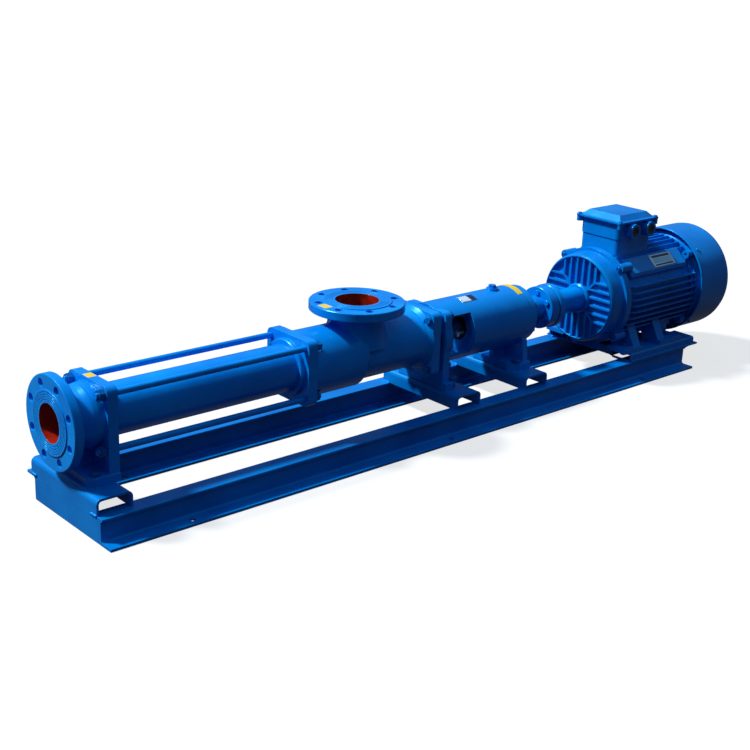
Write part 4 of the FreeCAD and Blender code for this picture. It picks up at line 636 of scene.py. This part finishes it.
# The bearing bracket's barrel: its radius, its bare yellow mark, and its bent plate
BARREL_RADIUS = 76.5
BARREL_MARK_LENGTH = 18.0
BARREL_MARK_WIDTH = 62.0
BARREL_MARK_CORNER = 1.2
BARREL_MARK_X = 1277.0
BARREL_MARK_ANGLE = -0.16
BARREL_PLATE_LENGTH = 50.0
BARREL_PLATE_NEAR_Y = -31.0
BARREL_PLATE_FAR_Y = -5.0
BARREL_PLATE_THICK = 0.9
BARREL_PLATE_MARGIN = 1.75
BARREL_PLATE_CORNER = 0.6
# Its two fields: name, shares of the plate's length for the field's length and middle, and finish
BARREL_PLATE_FIELDS = (
    ("print", 0.56, 0.31, PALE_FINISH),
    ("band", 0.34, 0.79, DARK_FINISH),
)


def barrel_films():
    """The yellow mark round the barrel's end, and the bare print and dark band of the bent plate."""
    film("barrel_mark", BARREL_MARK_LENGTH, BARREL_MARK_WIDTH, BARREL_MARK_CORNER,
         round_spot(BARREL_MARK_X, BARREL_MARK_ANGLE, BARREL_RADIUS), YELLOW_FINISH, lift=FILM_GAP)
    start = span("rating_plates", "X")[0]
    near = math.asin(BARREL_PLATE_NEAR_Y / BARREL_RADIUS)
    far = math.asin(BARREL_PLATE_FAR_Y / BARREL_RADIUS)
    width = (far - near) * BARREL_RADIUS - 2 * BARREL_PLATE_MARGIN
    face = BARREL_RADIUS + BARREL_PLATE_THICK
    for label, share, middle_share, finish in BARREL_PLATE_FIELDS:
        spot = round_spot(start + BARREL_PLATE_LENGTH * middle_share, (near + far) / 2, face)
        film("barrel_plate_" + label, BARREL_PLATE_LENGTH * share, width, BARREL_PLATE_CORNER, spot, finish,
             lift=FILM_GAP)


# The motor's plate on its tilted pad: the pad's angle, the reach of the plate's face from the pump axis,
# and half its length
PAD_ANGLE = math.radians(44)
PLATE_REACH = 129.8
PLATE_HALF_LENGTH = 45.5
FIELD_LENGTH = 76.0
FIELD_CORNER = 0.5
# Its fields: name, place up the slope, width, thickness and finish
MOTOR_PLATE_FIELDS = (
    ("bar_upper", 12.5, 7.0, 0.15, DARK_FINISH),
    ("bar_lower", -13.5, 4.5, 0.15, DARK_FINISH),
    ("field", -0.6, 15.5, 0.12, PALE_FINISH),
)
# Its rivets: half their spacing along and across, and their outline as pairs of radius and height
RIVET_U = 42.3
RIVET_V = 16.0
RIVET_SIDES = 16
RIVET_PROFILE = ((1.9, 0.0), (1.8, 0.6), (1.2, 1.1), (0.3, 1.3))


def motor_plate():
    """Two dark bars, a pale field between them, and a rivet in each corner."""
    x = span("rating_plates", "X")[1] - PLATE_HALF_LENGTH
    for label, across, width, thick, finish in MOTOR_PLATE_FIELDS:
        spot = tilted_spot(x, across, PLATE_REACH, PAD_ANGLE)
        film("motor_plate_" + label, FIELD_LENGTH, width, FIELD_CORNER, spot, finish, lift=FILM_GAP,
             thick=thick)
    for k, (u, v) in enumerate(four_corners(RIVET_U, RIVET_V)):
        spot = tilted_spot(x + u, v, PLATE_REACH, PAD_ANGLE)
        verts = [spot(a, b, h) for radius, h in RIVET_PROFILE for a, b in circle(radius, RIVET_SIDES)]
        faces = rings_to_faces(len(RIVET_PROFILE), RIVET_SIDES)
        piece("motor_plate_rivet_%d" % k, verts, faces, RIVET_FINISH)


# The cable entries: their outer radius, and a plug's outline as pairs of depth and radius
ENTRY_RADIUS = 20.0
PLUG_OUTLINE = ((14.0, 13.3), (1.2, 13.3), (0.4, 12.6), (0.4, 9.5),
                (3.5, 8.8), (3.5, 4.0), (2.2, 3.0), (2.2, 0.3))


def cable_entry_plugs():
    """A plug in each cable entry of the terminal box."""
    first, last = span("cable_glands", "X")
    face = span("cable_glands", "Y")[0]
    z = span("cable_glands", "Z")[1] - ENTRY_RADIUS
    for k, x in enumerate((first + ENTRY_RADIUS, last - ENTRY_RADIUS)):
        profile = [(face + depth, radius) for depth, radius in PLUG_OUTLINE]
        turned("cable_entry_plug_%d" % k, profile, (x, 0, z), "Y", PLUG_FINISH)


# The rolled rim of the fan cowl: the middle and half sizes of its oval section
RIM_INSET_X = 2.4
RIM_INSET_RADIUS = 0.4
RIM_HALF_LENGTH = 2.2
RIM_HALF_THICK = 1.7
RIM_SECTION_SIDES = 10
RIM_SIDES = 96


def cowl_rim():
    """The rim round the open end of the fan cowl."""
    x = span("fan_cowl", "X")[0] + RIM_INSET_X
    radius = span("fan_cowl", "Z")[1] - RIM_INSET_RADIUS
    unit = circle(1.0, RIM_SECTION_SIDES)
    section = [(x + RIM_HALF_LENGTH * u, radius + RIM_HALF_THICK * v) for u, v in unit]
    verts = [at(x, r * c, r * s) for c, s in circle(1.0, RIM_SIDES) for x, r in section]
    piece("cowl_rim", verts, rings_to_faces(RIM_SIDES, RIM_SECTION_SIDES, closed=True), COWL_FINISH)


channel_welds()
motor_rail_welds()
tie_rod_threads()
stickers()
barrel_films()
motor_plate()
cable_entry_plugs()
cowl_rim()


# Camera: its place in millimetres as at() takes them, its angles in radians, and its focal length in pixels
CAMERA_PLACE = (-1081.5, -2120.9, 935.8)
CAMERA_YAW = 0.735
CAMERA_PITCH = 0.339
CAMERA_ROLL = 0.041
FOCAL_PIXELS = 1294.8
IMAGE_PIXELS = 750.0
SENSOR_WIDTH = 36.0


def make_camera():
    """The camera at the photograph's viewing angle."""
    level = math.cos(CAMERA_PITCH)
    forward = Vector((math.sin(CAMERA_YAW) * level, math.cos(CAMERA_YAW) * level, -math.sin(CAMERA_PITCH)))
    right = Vector((math.cos(CAMERA_YAW), -math.sin(CAMERA_YAW), 0))
    up = right.cross(forward)
    c, s = math.cos(CAMERA_ROLL), math.sin(CAMERA_ROLL)
    turn = Matrix((c * right + s * up, c * up - s * right, -forward)).transposed()
    camera = new_object("camera", bpy.data.cameras.new("camera"))
    camera.matrix_world = Matrix.Translation(at(*CAMERA_PLACE)) @ turn.to_4x4()
    camera.data.sensor_width = SENSOR_WIDTH
    camera.data.lens = SENSOR_WIDTH * FOCAL_PIXELS / IMAGE_PIXELS
    camera.data.clip_start = 0.05
    camera.data.clip_end = 60.0
    bpy.context.scene.camera = camera


# Light: a sun that shines at the origin, and a dim sky that is bluer and brighter towards the top
SUN_STRENGTH = 4.5
SUN_PLACE = (-4.3, 4.0, 7.7)
SUN_ANGLE = 0.12
SKY_START = 0.25
SKY_LOW = (0.006, 0.018, 0.034, 1)
SKY_HIGH = (0.15, 0.38, 0.62, 1)
# How much of the white backdrop the gloss surfaces mirror; the rest of what they mirror is the sky
MIRRORED_SHARE = 0.1


def make_sun():
    """The one lamp."""
    data = bpy.data.lights.new("key", "SUN")
    data.energy = SUN_STRENGTH
    data.angle = SUN_ANGLE
    sun = new_object("key", data)
    sun.location = SUN_PLACE
    sun.rotation_mode = "QUATERNION"
    sun.rotation_quaternion = (-Vector(SUN_PLACE)).to_track_quat("-Z", "Y")


def seen_or_mirrored(tree):
    """1 for rays from the camera or through glass, a share for mirrored rays, and 0 for diffuse light."""
    path = add(tree, "ShaderNodeLightPath").outputs
    mirrored = maths(tree, "MULTIPLY", path["Is Glossy Ray"], MIRRORED_SHARE)
    direct = maths(tree, "MAXIMUM", path["Is Camera Ray"], mirrored)
    return maths(tree, "MAXIMUM", direct, path["Is Transmission Ray"])


def make_world():
    """The sky that lights the object, and the white backdrop that the camera sees."""
    world = bpy.data.worlds.new("world")
    bpy.context.scene.world = world
    world.use_nodes = True
    t = world.node_tree
    t.nodes.clear()
    direction = add(t, "ShaderNodeTexCoord").outputs["Generated"]
    height = add(t, "ShaderNodeSeparateXYZ", Vector=direction).outputs["Z"]
    sky_colour = ramp(t, height, SKY_START, 1.0, SKY_LOW, SKY_HIGH)
    sky = add(t, "ShaderNodeBackground", Color=sky_colour, Strength=1.0)
    white = add(t, "ShaderNodeBackground", Color=WHITE, Strength=1.0)
    both = add(t, "ShaderNodeMixShader", Fac=seen_or_mirrored(t), i1=sky.outputs[0], i2=white.outputs[0])
    add(t, "ShaderNodeOutputWorld", Surface=both.outputs[0])


# Floor: nearly white to the camera and dark to the object, with a soft shadow, and its half size in metres
FLOOR_SEEN = (0.9, 0.9, 0.9, 1)
FLOOR_BOUNCE = (0.006, 0.010, 0.020, 1)
FLOOR_GLOW = 0.74
FLOOR_HALF = 20


def make_floor():
    """The pale floor, which isn't part of the object."""
    material, t = new_material("floor")
    bounce = add(t, "ShaderNodeBsdfDiffuse", Color=FLOOR_BOUNCE)
    pale = add(t, "ShaderNodeBsdfDiffuse", Color=FLOOR_SEEN)
    glow = add(t, "ShaderNodeEmission", Color=WHITE, Strength=1.0)
    seen = add(t, "ShaderNodeMixShader", Fac=FLOOR_GLOW, i1=pale.outputs[0], i2=glow.outputs[0])
    both = add(t, "ShaderNodeMixShader", Fac=seen_or_mirrored(t), i1=bounce.outputs[0], i2=seen.outputs[0])
    add(t, "ShaderNodeOutputMaterial", Surface=both.outputs[0])
    a = FLOOR_HALF
    mesh = bpy.data.meshes.new("floor")
    mesh.from_pydata([(-a, -a, 0), (a, -a, 0), (a, a, 0), (-a, a, 0)], [], [(0, 1, 2, 3)])
    mesh.materials.append(material)
    floor = new_object("floor", mesh)


make_camera()
make_sun()
make_world()
make_floor()
view_settings = bpy.context.scene.view_settings
view_settings.view_transform = "Standard"
